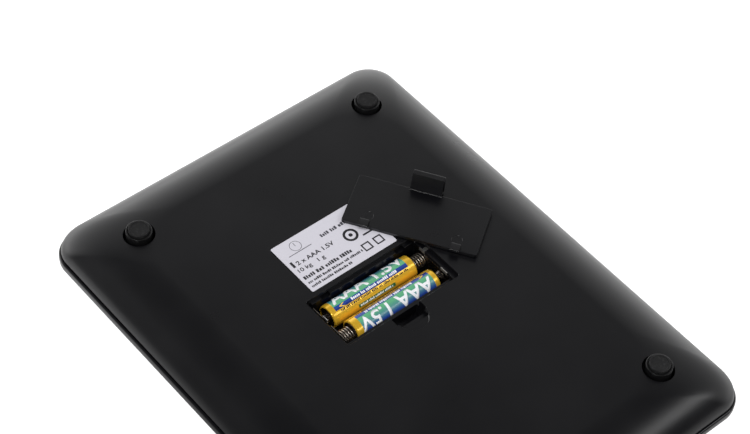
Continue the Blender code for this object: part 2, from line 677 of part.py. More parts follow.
def electronics(board_mat, lcd_mat, light_mat, plastic, chip_mat, steel, gold):
    at = (0, BOARD_AT_Y)
    board_half = (BOARD_X / 2, BOARD_Y / 2)
    board = add("main_board", slab(board_half, 1 * MM, BOARD_Z, BOARD_Z + BOARD_T, at), board_mat)
    for k, (x, y) in enumerate(board_screw_places()):
        hole = rod(x, y, BOARD_Z - MM, BOARD_Z + BOARD_T + MM, SCREW_R + 0.4 * MM, 12)
        boolean(board, helper(f"cut_board_{k + 1}", hole))
        head_top = BOARD_Z - FIT
        profile = [
            (0, head_top - SCREW_HEAD_H),
            (SCREW_HEAD_R * 0.7, head_top - SCREW_HEAD_H),
            (SCREW_HEAD_R, head_top - SCREW_HEAD_H * 0.5),
            (SCREW_HEAD_R, head_top),
            (SCREW_R, head_top),
            (SCREW_R, head_top + SCREW_L - 0.5 * MM),
            (0, head_top + SCREW_L),
        ]
        screw = add(f"board_screw_{k + 1}", turned(profile, 12), steel, smooth=True)
        screw.location = (x, y, 0)

    lcd_z = GLASS_TOP + 2 * FIT + MASK_T + FIT
    add("lcd_panel", slab((LCD_X / 2, LCD_Y / 2), 0.3 * MM, lcd_z, lcd_z + LCD_T, at), lcd_mat)
    light_z = lcd_z + LCD_T + FIT
    light_half = (LCD_X / 2 - 1 * MM, LCD_Y / 2 - 1 * MM)
    add("backlight", slab(light_half, 0.3 * MM, light_z, light_z + LIGHT_T, at), light_mat)
    holder_half = (LCD_X / 2 + FIT + HOLDER_WALL, LCD_Y / 2 + FIT + HOLDER_WALL)
    holder = add("lcd_holder", slab(holder_half, 1 * MM, lcd_z, BOARD_Z - FIT, at), plastic)
    window = slab((LCD_X / 2 + FIT, LCD_Y / 2 + FIT), 0.4 * MM, lcd_z - MM, BOARD_Z + MM, at)
    boolean(holder, helper("cut_holder", window))

    chip_z = BOARD_Z + BOARD_T + FIT
    chip_half = (CHIP_SIDE / 2, CHIP_SIDE / 2)
    chip = slab(chip_half, 0.5 * MM, chip_z, chip_z + CHIP_T, (CHIP_AT_X, BOARD_AT_Y))
    add("controller_chip", chip, chip_mat)
    socket_low = (SOCKET_AT_X - SOCKET_HALF[0], BOARD_AT_Y - SOCKET_HALF[1], chip_z)
    socket_high = (SOCKET_AT_X + SOCKET_HALF[0], BOARD_AT_Y + SOCKET_HALF[1], chip_z + SOCKET_H)
    add("lead_socket", box(socket_low, socket_high), light_mat)
    for name, side in (("touch_spring_left", -1), ("touch_spring_right", 1)):
        low = GLASS_TOP + 2 * FIT + MASK_T + SPRING_WIRE_R
        high = BOARD_Z - FIT - SPRING_WIRE_R
        per_turn = 10
        count = TOUCH_TURNS * per_turn
        points = []
        for k in range(count + 1):
            along = k / count
            travel = min(max((along * TOUCH_TURNS - 0.5) / (TOUCH_TURNS - 1), 0), 1)
            angle = 2 * pi * along * TOUCH_TURNS
            x = side * TOUCH_X + TOUCH_R * cos(angle)
            y = BOARD_AT_Y + TOUCH_R * sin(angle)
            points.append((x, y, low + (high - low) * travel))
        tube(name, points, SPRING_WIRE_R, gold)


def leads(red, black, grey):
    """Battery leads round the left of the bay, and a lead from each load cell, all to the board's socket."""
    socket_z = BOARD_Z + BOARD_T + SOCKET_H + 2 * FIT + LEAD_R
    wall_x = -BAY_X / 2 - BAY_WALL
    entry_y = BOARD_AT_Y + SOCKET_HALF[1]
    rear_y, front_y = battery_lead_exits()
    for name, y, shift, mat, end_x in (
        ("battery_lead_positive", rear_y, 6.5 * MM, red, 12 * MM),
        ("battery_lead_negative", front_y, 3 * MM, black, 15 * MM),
    ):
        knots = [
            (-BAY_X / 2 - FIT, y, BATTERY_LEAD_Z),
            (wall_x, y, BATTERY_LEAD_Z),
            (wall_x - 1 * MM, y, BATTERY_LEAD_Z),
            (wall_x - shift, y - 4 * MM, BATTERY_LEAD_Z),
            (wall_x - shift, BAY_Y - 26 * MM, BATTERY_LEAD_Z + 1 * MM),
            (-18 * MM - shift, BOARD_AT_Y + 28 * MM - shift, socket_z),
            (end_x, entry_y + 6 * MM, socket_z),
            (end_x, entry_y - 2 * MM, socket_z),
        ]
        tube(name, smooth_route(knots, 7 * LEAD_R), LEAD_R, mat)

    cell_z = CELL_PLATE_Z + CELL_T + FIT + LEAD_R
    for corner, (x, y), end_x in zip(CORNERS, FEET, (13 * MM, 20 * MM, 9 * MM, 24 * MM)):
        side = 1 if x > 0 else -1
        edge_x = x - side * (CELL_SIDE / 2 + CARRIER_WALL)
        start_x = edge_x + side * (CARRIER_WALL + CELL_FRAME_W / 2)
        if y < 0:
            knots = [
                (start_x, y, cell_z),
                (edge_x, y, cell_z),
                (edge_x - side * 3 * MM, y + 1 * MM, cell_z),
                (side * 28 * MM, BOARD_AT_Y - 20 * MM, socket_z),
                (end_x, BOARD_AT_Y - SOCKET_HALF[1] - 6 * MM, socket_z),
                (end_x, BOARD_AT_Y - SOCKET_HALF[1] + 2 * MM, socket_z),
            ]
        else:
            run_x = side * 42 * MM
            knots = [
                (start_x, y, cell_z),
                (edge_x, y, cell_z),
                (run_x, y - 8 * MM, cell_z),
                (run_x, BAY_Y + 20 * MM, cell_z),
                (run_x, BOARD_AT_Y + 39 * MM, cell_z),
                (side * 29 * MM, BOARD_AT_Y + 19 * MM, socket_z),
                (end_x, entry_y + 6 * MM, socket_z),
                (end_x, entry_y - 2 * MM, socket_z),
            ]
        tube(f"cell_lead_{corner}", smooth_route(knots, 7 * LEAD_R), LEAD_R, grey)


def label(mat):
    low = UNDER_Z - LABEL_POCKET + FIT
    add("rating_label", slab((LABEL_X / 2, LABEL_Y / 2), 0.3 * MM, low, low + LABEL_T, LABEL_AT), mat)


def main():
    for old in list(bpy.data.objects):
        bpy.data.objects.remove(old)
    abs_black = material("satin_black_abs", (0.018, 0.018, 0.019), 0.42)
    inner_black = material("black_abs_inside", (0.02, 0.02, 0.021), 0.5)
    glass = material("black_tempered_glass", (0.02, 0.022, 0.024), 0.05)
    print_black = material("black_print", (0.01, 0.01, 0.01), 0.6)
    tape = material("foam_tape", (0.03, 0.03, 0.03), 0.9)
    rubber = material("foot_rubber", (0.02, 0.02, 0.02), 0.75)
    steel = material("load_cell_steel", (0.55, 0.55, 0.56), 0.35, 1.0)
    plated = material("nickel_plated_steel", (0.72, 0.69, 0.64), 0.25, 1.0)
    wrap = material("battery_wrap", (0.75, 0.5, 0.04), 0.3)
    paper = material("label_vinyl", (0.56, 0.56, 0.6), 0.5)
    green = material("circuit_board", (0.01, 0.09, 0.03), 0.45)
    lcd = material("lcd_glass", (0.12, 0.14, 0.12), 0.1)
    white = material("white_plastic", (0.75, 0.75, 0.73), 0.5)
    epoxy = material("chip_epoxy", (0.01, 0.01, 0.01), 0.4)
    red = material("red_wire", (0.5, 0.02, 0.02), 0.5)
    black = material("black_wire", (0.02, 0.02, 0.02), 0.5)
    grey = material("grey_wire", (0.3, 0.3, 0.3), 0.5)

    base_shell(abs_black)
    glass_platform(glass, print_black, tape)
    label(paper)
    for corner, (x, y) in zip(CORNERS, FEET):
        foot(corner, x, y, inner_black, rubber, steel, inner_black)
    for name, y, positive in battery_places():
        battery(name, y, positive, wrap)
    contacts(plated, plated)
    cover(abs_black)
    electronics(green, lcd, white, inner_black, epoxy, steel, plated)
    leads(red, black, grey)


main()
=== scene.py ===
"""Fine surfaces, materials and studio for a slim kitchen scale that lies on its glass, underside up.

Its battery bay is open, with two cells in it, and the cover lies inner face up on the underside.
"""

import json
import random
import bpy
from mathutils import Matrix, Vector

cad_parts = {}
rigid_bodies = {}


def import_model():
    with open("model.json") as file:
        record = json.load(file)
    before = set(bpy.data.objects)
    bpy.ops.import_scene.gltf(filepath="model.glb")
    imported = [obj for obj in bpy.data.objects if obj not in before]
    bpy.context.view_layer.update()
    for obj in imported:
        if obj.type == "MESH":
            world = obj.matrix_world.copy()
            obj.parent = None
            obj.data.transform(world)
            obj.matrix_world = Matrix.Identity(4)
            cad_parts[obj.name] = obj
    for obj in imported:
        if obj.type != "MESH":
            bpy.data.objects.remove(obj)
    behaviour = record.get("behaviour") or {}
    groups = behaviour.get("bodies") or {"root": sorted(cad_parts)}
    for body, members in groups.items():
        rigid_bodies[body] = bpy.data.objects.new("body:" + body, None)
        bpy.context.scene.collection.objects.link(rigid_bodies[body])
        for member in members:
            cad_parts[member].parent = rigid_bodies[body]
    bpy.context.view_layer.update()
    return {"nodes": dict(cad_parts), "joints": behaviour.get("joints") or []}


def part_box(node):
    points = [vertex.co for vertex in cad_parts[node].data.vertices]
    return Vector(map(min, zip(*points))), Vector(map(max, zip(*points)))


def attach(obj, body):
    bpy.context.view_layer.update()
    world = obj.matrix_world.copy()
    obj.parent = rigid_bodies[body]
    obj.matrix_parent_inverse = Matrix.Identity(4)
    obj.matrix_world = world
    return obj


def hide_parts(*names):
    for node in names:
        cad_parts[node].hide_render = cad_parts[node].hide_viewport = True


bl_info = {
    "name": "Upturned Kitchen Scale",
    "version": (1, 0, 0),
    "blender": (4, 5, 0),
    "location": "View3D > Sidebar > Scale",
    "description": "Builds the fine pieces, finishes and studio of an upturned kitchen scale",
    "category": "Object",
}

from functools import partial
from math import atan2, cos, pi, radians, sin

import bmesh
import bpy
from bpy.props import FloatProperty, FloatVectorProperty, IntProperty, PointerProperty
from mathutils import Matrix, Vector

for unused in list(bpy.data.objects):
    bpy.data.objects.remove(unused)
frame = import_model()

MM = 0.001
CORNERS = ("front_left", "front_right", "rear_left", "rear_right")
Z_AXIS = Vector((0, 0, 1))


# ---------------------------------------------------------------- places read from the frame
def middle(node):
    low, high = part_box(node)
    return (low + high) / 2


def span(node):
    low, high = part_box(node)
    return high - low


SHELL_LOW, SHELL_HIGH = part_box("base_shell")
UNDER_Z = SHELL_HIGH.z
RIM_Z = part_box("bonding_tape")[1].z + 0.1 * MM
HALF_X = SHELL_HIGH.x
HALF_Y = SHELL_HIGH.y
BAY_FLOOR = 1 * MM  # thickness below the battery bay and the latch's pocket
BAY_FLOOR_Z = SHELL_LOW.z + BAY_FLOOR
REAR_CELL = middle("battery_rear")
FRONT_CELL = middle("battery_front")
CELL_R = span("battery_rear").y / 2
CELL_LONG = span("battery_rear").x
BAY_HALF_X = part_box("contact_bridge")[1].x + 0.1 * MM
BAY_SIDE = 0.45 * MM
BAY_LOW_Y = FRONT_CELL.y - CELL_R - BAY_SIDE
BAY_HIGH_Y = REAR_CELL.y + CELL_R + BAY_SIDE
LATCH = next(j for j in frame["joints"] if j["name"] == "latch_press")


def cover_place():
    """The loose cover's own axes: X along the latch, Y to its edge, Z up, origin mid panel below."""
    along = Vector(LATCH["axis"]).normalized()
    across = Z_AXIS.cross(along)
    pivot = Vector(LATCH["pos_m"])
    origin = pivot - across * LATCH_PIVOT_Y
    origin.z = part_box("cover_panel")[0].z
    place = Matrix((along, across, Z_AXIS)).transposed().to_4x4()
    place.translation = origin
    return place


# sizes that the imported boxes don't give, because the cover lies at an angle
COVER_X = 57.7 * MM
COVER_Y = 26.3 * MM
COVER_T = 1.7 * MM
LATCH_FACE_Y = COVER_Y / 2 - 0.7 * MM  # near face of the latch's front leg at its foot
LATCH_T = 0.9 * MM
LATCH_H = 7.3 * MM
LATCH_HALF = 6.8 * MM
LATCH_PIVOT_Y = LATCH_FACE_Y + LATCH_T / 2
TAB_X = 19.5 * MM
TAB_HALF = 2 * MM
TAB_REACH = 1.2 * MM
TAB_RISE = 1.2 * MM

# the battery bay, whose ledge carries the cover
OPENING = (COVER_X / 2 + 0.3 * MM, COVER_Y / 2 + 0.3 * MM)
BAY_Y = (BAY_LOW_Y + BAY_HIGH_Y) / 2 - 0.8 * MM  # middle of the opening
BAY_WALL = 1.3 * MM
LEDGE_Z = UNDER_Z - 1.9 * MM
LEDGE_T = 2.2 * MM
DEEP_LEDGE = 1.6 * MM  # how much lower the ledge's near and left sides lie

# the notch that takes the latch, the finger's recess behind it and the round scoop
NOTCH_HALF = 7.6 * MM
NOTCH_FAR = BAY_Y - LATCH_FACE_Y - 5.3 * MM
NOTCH_NEAR = BAY_Y - LATCH_FACE_Y + 0.3 * MM
NOTCH_DEPTH = 9.6 * MM
FINGER_HALF = 6.5 * MM
FINGER_FAR = NOTCH_FAR - 2.9 * MM
FINGER_DEPTH = 3.0 * MM
SCOOP_R = 6.8 * MM
SCOOP_DEPTH = 0.9 * MM

# the casing's open underside, and the holes for its feet
FLANGE_T = 1.5 * MM
FLANGE_W = 7 * MM
MOUTH_R = 8.5 * MM
FOOT_HOLE_R = 6.6 * MM

# contacts, print and the ends of the cells
PLATE_T = 0.4 * MM
DOME_R = 2.6 * MM
DOME_REACH = 2.2 * MM
COIL_R = 2.9 * MM
WIRE_R = 0.3 * MM
PRINT_THICK = 0.012 * MM
NUB_LONG = 0.9 * MM

# brightness of the reflected sweep, by the upward part of its direction
SKY_LEVELS = (
    (0.0, 2.5), (0.2, 1.7), (0.4, 1.06), (0.55, 0.72),
    (0.68, 0.46), (0.757, 0.2), (0.82, 0.06), (1.0, 0.04),
)


# ---------------------------------------------------------------- what a user would change
def linear(code):
    """sRGB hex to linear red, green, blue."""
    parts = [int(code[k:k + 2], 16) / 255 for k in (1, 3, 5)]
    return tuple(c / 12.92 if c <= 0.04045 else ((c + 0.055) / 1.055) ** 2.4 for c in parts)


def rgba(code):
    return (*linear(code), 1.0)


def colour(name, code, description):
    return FloatVectorProperty(
        name=name, description=description, default=linear(code), size=3, min=0, max=1, subtype="COLOR"
    )


def length(name, default, description):
    return FloatProperty(
        name=name, description=description, default=default, unit="LENGTH", precision=5
    )


def angle(name, degrees, description):
    return FloatProperty(
        name=name, description=description, default=radians(degrees), subtype="ANGLE"
    )


class ScaleView(bpy.types.PropertyGroup):
    bearing: angle("Bearing", -134.434, "Direction of the camera round the scale, from +X")
    elevation: angle("Elevation", 49.262, "Height of the camera above the horizon")
    roll: angle("Roll", 5.512, "Turn of the camera about its own line of sight")
    distance: length("Distance", 0.8526, "From the camera to the point it looks at")
    focal: FloatProperty(name="Focal length", description="Lens focal length in mm", default=99.40)
    target: FloatVectorProperty(
        name="Target",
        description="Point that the camera looks at",
        default=(0.02177, 0.03777, 0.018),
        size=3,
    )


class ScaleShape(bpy.types.PropertyGroup):
    margin: length("Curved margin", 24 * MM, "Width of the curved edge round the flat underside")
    rim_radius: length("Rim corner", 12 * MM, "Plan corner radius of the casing at its rim")
    flat_radius: length("Flat corner", 24 * MM, "Plan corner radius of the flat underside")
    wall: length("Wall", 2 * MM, "Thickness of the casing")
    edge: length("Edge break", 0.14 * MM, "Small rounding on moulded edges")
    margin_steps: IntProperty(name="Margin steps", description="Rings in the curved edge", default=28)
    corner_steps: IntProperty(name="Corner steps", description="Segments in a plan corner", default=16)
    spring_turns: FloatProperty(name="Spring turns", description="Turns of a battery contact coil", default=5)


class ScaleColours(bpy.types.PropertyGroup):
    casing: colour("Casing", "#0c0c0f", "Satin black ABS of the casing and cover")
    inner: colour("Inner plastic", "#0e0e0f", "Plain black plastic of the feet and carriers")
    rubber: colour("Rubber", "#161617", "Foot rubber")
    label: colour("Label", "#d3d1da", "Silver-grey vinyl of the label")
    ink: colour("Ink", "#1b1b20", "Print on the label")
    gold: colour("Gold", "#fcc838", "Gold field of the battery wrap")
    blue: colour("Blue", "#2a489c", "Blue band of the battery wrap")
    green: colour("Green", "#62b183", "Green band of the battery wrap")
    nickel: colour("Nickel", "#9a928a", "Nickel plate of the contacts")
    # painted highlight: the coils' nickel is set much lighter than the plates' nickel, standing for the light
    # that their turns catch
    spring: colour("Spring", "#efe4da", "Nickel plate of the contact coils")
    floor: colour("Floor", "#f4f4f4", "Studio floor")


SETTINGS = {"scale_view": ScaleView, "scale_shape": ScaleShape, "scale_colours": ScaleColours}


def view():
    return bpy.context.scene.scale_view


def shape():
    return bpy.context.scene.scale_shape


def tint(name):
    return (*getattr(bpy.context.scene.scale_colours, name), 1.0)


# ---------------------------------------------------------------- shaping helpers
def place_box(bm, low, high):
    low, high = Vector(low), Vector(high)
    where = Matrix.Translation((low + high) / 2) @ Matrix.Diagonal((*(high - low), 1))
    bmesh.ops.create_cube(bm, size=1.0, matrix=where)


def level_loop(bm, half, radius, z, at=(0, 0), steps=8):
    """A level loop of edges: a rectangle of those half sizes with round corners."""
    where = Matrix.Translation((*at, z)) @ Matrix.Diagonal((half[0], half[1], 1, 1))
    before = set(bm.faces)
    corners = bmesh.ops.create_grid(bm, x_segments=1, y_segments=1, size=1.0, matrix=where)["verts"]
    bmesh.ops.bevel(
        bm, geom=corners, offset=radius, offset_type="OFFSET", affect="VERTICES",
        segments=steps, profile=0.5, material=-1,
    )
    face = next(f for f in bm.faces if f not in before)
    edges = list(face.edges)
    bmesh.ops.delete(bm, geom=[face], context="FACES_ONLY")
    return edges


def loft(levels, steps=8):
    """A closed body through levels of (half sizes, corner radius, height, and a centre if given)."""
    bm = bmesh.new()
    loops = [level_loop(bm, *level, steps=steps) for level in levels]
    for low, high in zip(loops, loops[1:]):
        bmesh.ops.bridge_loops(bm, edges=low + high)
    bmesh.ops.edgeloop_fill(bm, edges=loops[0])
    bmesh.ops.edgeloop_fill(bm, edges=loops[-1])
    bmesh.ops.recalc_face_normals(bm, faces=bm.faces)
    return bm


def less(half, amount):
    return (half[0] - amount, half[1] - amount)


def flared(half, radius, low, top, flare, at=(0, 0), steps=4):
    """A pocket cutter whose mouth opens by flare, so that the pocket gets a broken edge."""
    over = 1 * MM
    return loft(
        [
            (half, radius, low, at),
            (half, radius, top - flare, at),
            (less(half, -flare), radius + flare, top, at),
            (less(half, -flare), radius + flare, top + over, at),
        ],
        steps,
    )


def turned(profile, steps=64, at=(0, 0)):
    """Spins (radius, height) points round a vertical axis; a radius of 0 closes an end."""
    bm = bmesh.new()
    points = [bm.verts.new((r, 0, z)) for r, z in profile]
    edges = [bm.edges.new(pair) for pair in zip(points, points[1:])]
    bmesh.ops.spin(
        bm, geom=points + edges, cent=(0, 0, 0), axis=Z_AXIS, angle=2 * pi, steps=steps,
        use_merge=True,
    )
    bmesh.ops.remove_doubles(bm, verts=bm.verts, dist=1e-7)
    bmesh.ops.recalc_face_normals(bm, faces=bm.faces)
    bmesh.ops.translate(bm, vec=(*at, 0), verts=bm.verts)
    return bm


def rounded(points, radius, steps=4):
    """The (across, up) points with each inner corner replaced by a curve of about that radius."""
    made = [points[0]]
    for before, here, after in zip(points, points[1:], points[2:]):
        before, here, after = Vector(before), Vector(here), Vector(after)
        reach = min(radius, (before - here).length / 2, (after - here).length / 2)
        start = here + (before - here).normalized() * reach
        end = here + (after - here).normalized() * reach
        for k in range(steps + 1):
            t = k / steps
            made.append(tuple(start * (1 - t) ** 2 + here * 2 * t * (1 - t) + end * t**2))
    return [*made, points[-1]]


def push(bm, faces, way):
    """Extrudes faces along a vector and closes the body."""
    moved = bmesh.ops.extrude_face_region(bm, geom=faces)["geom"]
    corners = [v for v in moved if isinstance(v, bmesh.types.BMVert)]
    bmesh.ops.translate(bm, vec=way, verts=corners)
    bmesh.ops.recalc_face_normals(bm, faces=bm.faces)


def extruded(outline, low, high):
    """An (across, up) outline in the YZ plane, carried along X from low to high."""
    bm = bmesh.new()
    face = bm.faces.new([bm.verts.new((low, y, z)) for y, z in outline])
    push(bm, [face], (high - low, 0, 0))
    return bm


def arc_strip(bm, centre, inner, outer, start, sweep, steps):
    """A flat printed arc in the XY plane."""
    ring = bmesh.new()
    line = [ring.verts.new((r * cos(start), r * sin(start), 0)) for r in (inner, outer)]
    edge = ring.edges.new(line)
    closed = sweep > 2 * pi - 0.001
    bmesh.ops.spin(
        ring, geom=[*line, edge], cent=(0, 0, 0), axis=Z_AXIS, angle=sweep, steps=steps,
        use_merge=closed,
    )
    bmesh.ops.recalc_face_normals(ring, faces=ring.faces)
    bmesh.ops.translate(ring, vec=(*centre, 0), verts=ring.verts)
    merge_into(bm, ring)


def add_object(name, data):
    made = bpy.data.objects.new(name, data)
    bpy.context.scene.collection.objects.link(made)
    return made


def object_from(name, bm, material=None, smooth=None):
    """An object of that bmesh, shaded smooth up to an angle in degrees if one is given."""
    mesh = bpy.data.meshes.new(name)
    bm.to_mesh(mesh)
    bm.free()
    made = add_object(name, mesh)
    if material:
        mesh.materials.append(material)
    if smooth is not None:
        mesh.shade_smooth()
        mesh.set_sharp_from_angle(angle=radians(smooth))
    return made


def carve(piece, cutters, operation="DIFFERENCE"):
    """Joins or cuts each shape in turn and keeps the plain result."""
    for bm in cutters:
        other = object_from("cutter", bm)
        step = piece.modifiers.new("step", "BOOLEAN")
        step.operation = operation
        step.solver = "EXACT"
        step.object = other
        keep_result(piece)
        bpy.data.objects.remove(other)


def keep_result(piece):
    """Replaces the piece's mesh by what its modifiers make of it."""
    evaluated = piece.evaluated_get(bpy.context.evaluated_depsgraph_get())
    mesh = bpy.data.meshes.new_from_object(evaluated)
    piece.modifiers.clear()
    piece.data = mesh
    bpy.context.view_layer.update()


def break_edges(piece, width, above):
    """A small rounding on every edge sharper than the angle."""
    bevel = piece.modifiers.new("edge break", "BEVEL")
    bevel.width = width
    bevel.segments = 2
    bevel.limit_method = "ANGLE"
    bevel.angle_limit = radians(above)
    bevel.use_clamp_overlap = True
    keep_result(piece)


def finished(piece, finish, sharp):
    """One finish, and smooth shading that keeps large flats flat and edges above the angle sharp."""
    piece.data.materials.clear()
    piece.data.materials.append(finish)
    piece.data.shade_smooth()
    piece.data.set_sharp_from_angle(angle=radians(sharp))
    even = piece.modifiers.new("even flats", "WEIGHTED_NORMAL")
    even.keep_sharp = True
    keep_result(piece)


def settle(piece, body, slot, *nodes):
    """Fixes a finished piece to its body and hides the CAD nodes that it stands for; the slot, which names
    its finish, is not used.
    """
    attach(piece, body)
    if nodes:
        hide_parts(*nodes)


def meshed(curve):
    """The mesh that a curve or a text makes."""
    holder = add_object(curve.name, curve)
    evaluated = holder.evaluated_get(bpy.context.evaluated_depsgraph_get())
    mesh = bpy.data.meshes.new_from_object(evaluated)
    bpy.data.objects.remove(holder)
    return mesh


def lettering(text, size, weight):
    """Flat letters as a bmesh in the XY plane, fattened by a weight."""
    curve = bpy.data.curves.new("letters", "FONT")
    curve.body = text
    curve.size = size
    curve.offset = weight
    curve.resolution_u = 6
    bm = bmesh.new()
    bm.from_mesh(meshed(curve))
    bmesh.ops.remove_doubles(bm, verts=bm.verts, dist=1e-7)
    return bm


def merge_into(target, source):
    """Adds one bmesh to another."""
    mesh = bpy.data.meshes.new("part")
    source.to_mesh(mesh)
    source.free()
    target.from_mesh(mesh)
    bpy.data.meshes.remove(mesh)


# ---------------------------------------------------------------- material helpers
FACTOR, FIRST, SECOND = 0, 6, 7  # the sockets of a colour mix


def wire(node, sockets):
    """Sets each input to a value, or links it to a socket or to a node's first live output."""
    for name, value in sockets.items():
        if isinstance(value, bpy.types.Node):
            value = next(output for output in value.outputs if output.enabled)
        if isinstance(value, bpy.types.NodeSocket):
            node.id_data.links.new(value, node.inputs[name])
        else:
            node.inputs[name].default_value = value
    return node


def put(tree, kind, sockets, **settings):
    """Adds a shader node: settings are its properties, and sockets are its values and links."""
    made = tree.nodes.new("ShaderNode" + kind)
    for name, value in settings.items():
        setattr(made, name, value)
    return wire(made, sockets)


def start_material(name, base, roughness, **values):
    """A Principled material: itself, what adds a node to it, its shader and its Object coordinates."""
    made = bpy.data.materials.new(name)
    made.use_nodes = True
    add = partial(put, made.node_tree)
    shader = made.node_tree.nodes["Principled BSDF"]
    values = {key.replace("_", " "): value for key, value in values.items()}
    wire(shader, {"Base Color": base, "Roughness": roughness, **values})
    return made, add, shader, add("TexCoord", {}).outputs["Object"]


def scaled(base, factor, lift=0.0):
    """A colour made darker or lighter."""
    return (*[min(1, c * factor + lift) for c in base[:3]], 1.0)


def fill_ramp(ramp, stops):
    """Gives a colour ramp its (position, colour) stops."""
    elements = ramp.color_ramp.elements
    elements.remove(elements[1])
    elements[0].position, elements[0].color = stops[0]
    for position, value in stops[1:]:
        elements.new(position).color = value


# ---------------------------------------------------------------- finishes
def satin_abs():
    """ABS moulded against a spark-eroded tool: a fine even grain that spreads highlights softly."""
    made, add, shader, where = start_material("satin_moulded_abs", tint("casing"), 0.3, IOR=1.53)
    # real grain is near 0.1 mm; it is drawn at 0.5 mm so that it still shows at a distance
    grain = add("TexNoise", {"Vector": where, "Scale": 1 / (0.5 * MM), "Detail": 3.0})
    clouds = add("TexNoise", {"Vector": where, "Scale": 1 / (28 * MM), "Detail": 4.0})
    gloss = {"Value": clouds, "From Min": 0.3, "From Max": 0.7, "To Min": 0.27, "To Max": 0.33}
    tones = {FACTOR: clouds, FIRST: scaled(tint("casing"), 0.85), SECOND: tint("casing")}
    wire(
        shader,
        {
            "Base Color": add("Mix", tones, data_type="RGBA"),
            "Roughness": add("MapRange", gloss),
            "Normal": add("Bump", {"Height": grain, "Distance": 0.0025 * MM}),
        },
    )
    return made


def plain_plastic(name, base, roughness=0.45):
    """Polished-tool moulding: smoother than the casing, with faint flow marks."""
    made, add, shader, where = start_material(name, base, roughness, IOR=1.5)
    flow = add("TexNoise", {"Vector": where, "Scale": 1 / (6 * MM), "Detail": 3.0, "Distortion": 1.5})
    ripple = add("TexNoise", {"Vector": where, "Scale": 1 / (0.8 * MM)})
    gloss = {"Value": flow, "From Min": 0.3, "From Max": 0.7}
    gloss |= {"To Min": roughness - 0.06, "To Max": roughness + 0.06}
    wire(
        shader,
        {
            "Roughness": add("MapRange", gloss),
            "Normal": add("Bump", {"Height": ripple, "Distance": 0.004 * MM}),
        },
    )
    return made


def foot_rubber():
    """Compression-moulded silicone rubber: matt, with dust in its fine texture."""
    made, add, shader, where = start_material("moulded_rubber", tint("rubber"), 0.78, IOR=1.45)
    dust = add("TexNoise", {"Vector": where, "Scale": 1 / (0.9 * MM), "Detail": 5.0})
    dusty = add("MapRange", {"Value": dust, "From Min": 0.5, "From Max": 0.75, "To Max": 0.5})
    tones = {FACTOR: dusty, FIRST: tint("rubber"), SECOND: scaled(tint("rubber"), 1, 0.03)}
    wire(
        shader,
        {
            "Base Color": add("Mix", tones, data_type="RGBA"),
            "Normal": add("Bump", {"Height": dust, "Distance": 0.02 * MM}),
        },
    )
    return made


def label_vinyl():
    """Printed silver polyester film: an even sheen with a fine metallic fleck."""
    made, add, shader, where = start_material("silver_polyester_film", tint("label"), 0.5)
    fleck = add("TexNoise", {"Vector": where, "Scale": 1 / (0.35 * MM)})
    sheen = add("TexNoise", {"Vector": where, "Scale": 1 / (9 * MM)})
    gloss = {"Value": sheen, "From Min": 0.3, "From Max": 0.7, "To Min": 0.42, "To Max": 0.55}
    tones = {FACTOR: fleck, FIRST: scaled(tint("label"), 0.94), SECOND: scaled(tint("label"), 1.06)}
    wire(
        shader,
        {
            "Base Color": add("Mix", tones, data_type="RGBA"),
            "Roughness": add("MapRange", gloss),
            "Normal": add("Bump", {"Height": fleck, "Distance": 0.002 * MM}),
        },
    )
    return made


def ink(name, base):
    """Thermal transfer ink: a thin matt film with slightly uneven cover."""
    made, add, shader, where = start_material(name, base, 0.55)
    cover = add("TexNoise", {"Vector": where, "Scale": 1 / (0.5 * MM), "Detail": 3.0})
    thin = add("MapRange", {"Value": cover, "From Min": 0.3, "From Max": 0.7, "To Max": 0.6})
    tones = {FACTOR: thin, FIRST: base, SECOND: scaled(base, 1.25, 0.004)}
    wire(shader, {"Base Color": add("Mix", tones, data_type="RGBA")})
    return made


def plated(name, base, roughness=0.28, scratch=0.3 * MM):
    """Nickel plate on stamped or drawn metal: bright, with fine drawing lines."""
    made, add, shader, where = start_material(name, base, roughness, Metallic=1.0)
    lines = add("Mapping", {"Vector": where, "Scale": (0.15, 1.0, 1.0)})
    marks = add("TexNoise", {"Vector": lines, "Scale": 1 / scratch, "Detail": 4.0})
    tarnish = add("TexNoise", {"Vector": where, "Scale": 1 / (2.5 * MM)})
    gloss = {"Value": marks, "From Min": 0.3, "From Max": 0.7}
    gloss |= {"To Min": roughness - 0.08, "To Max": roughness + 0.12}
    stain = add("MapRange", {"Value": tarnish, "From Min": 0.3, "From Max": 0.7, "To Max": 0.8})
    tones = {FACTOR: stain, FIRST: base, SECOND: scaled(base, 0.75)}
    wire(
        shader,
        {
            "Base Color": add("Mix", tones, data_type="RGBA"),
            "Roughness": add("MapRange", gloss),
            "Normal": add("Bump", {"Height": marks, "Distance": 0.003 * MM}),
        },
    )
    return made


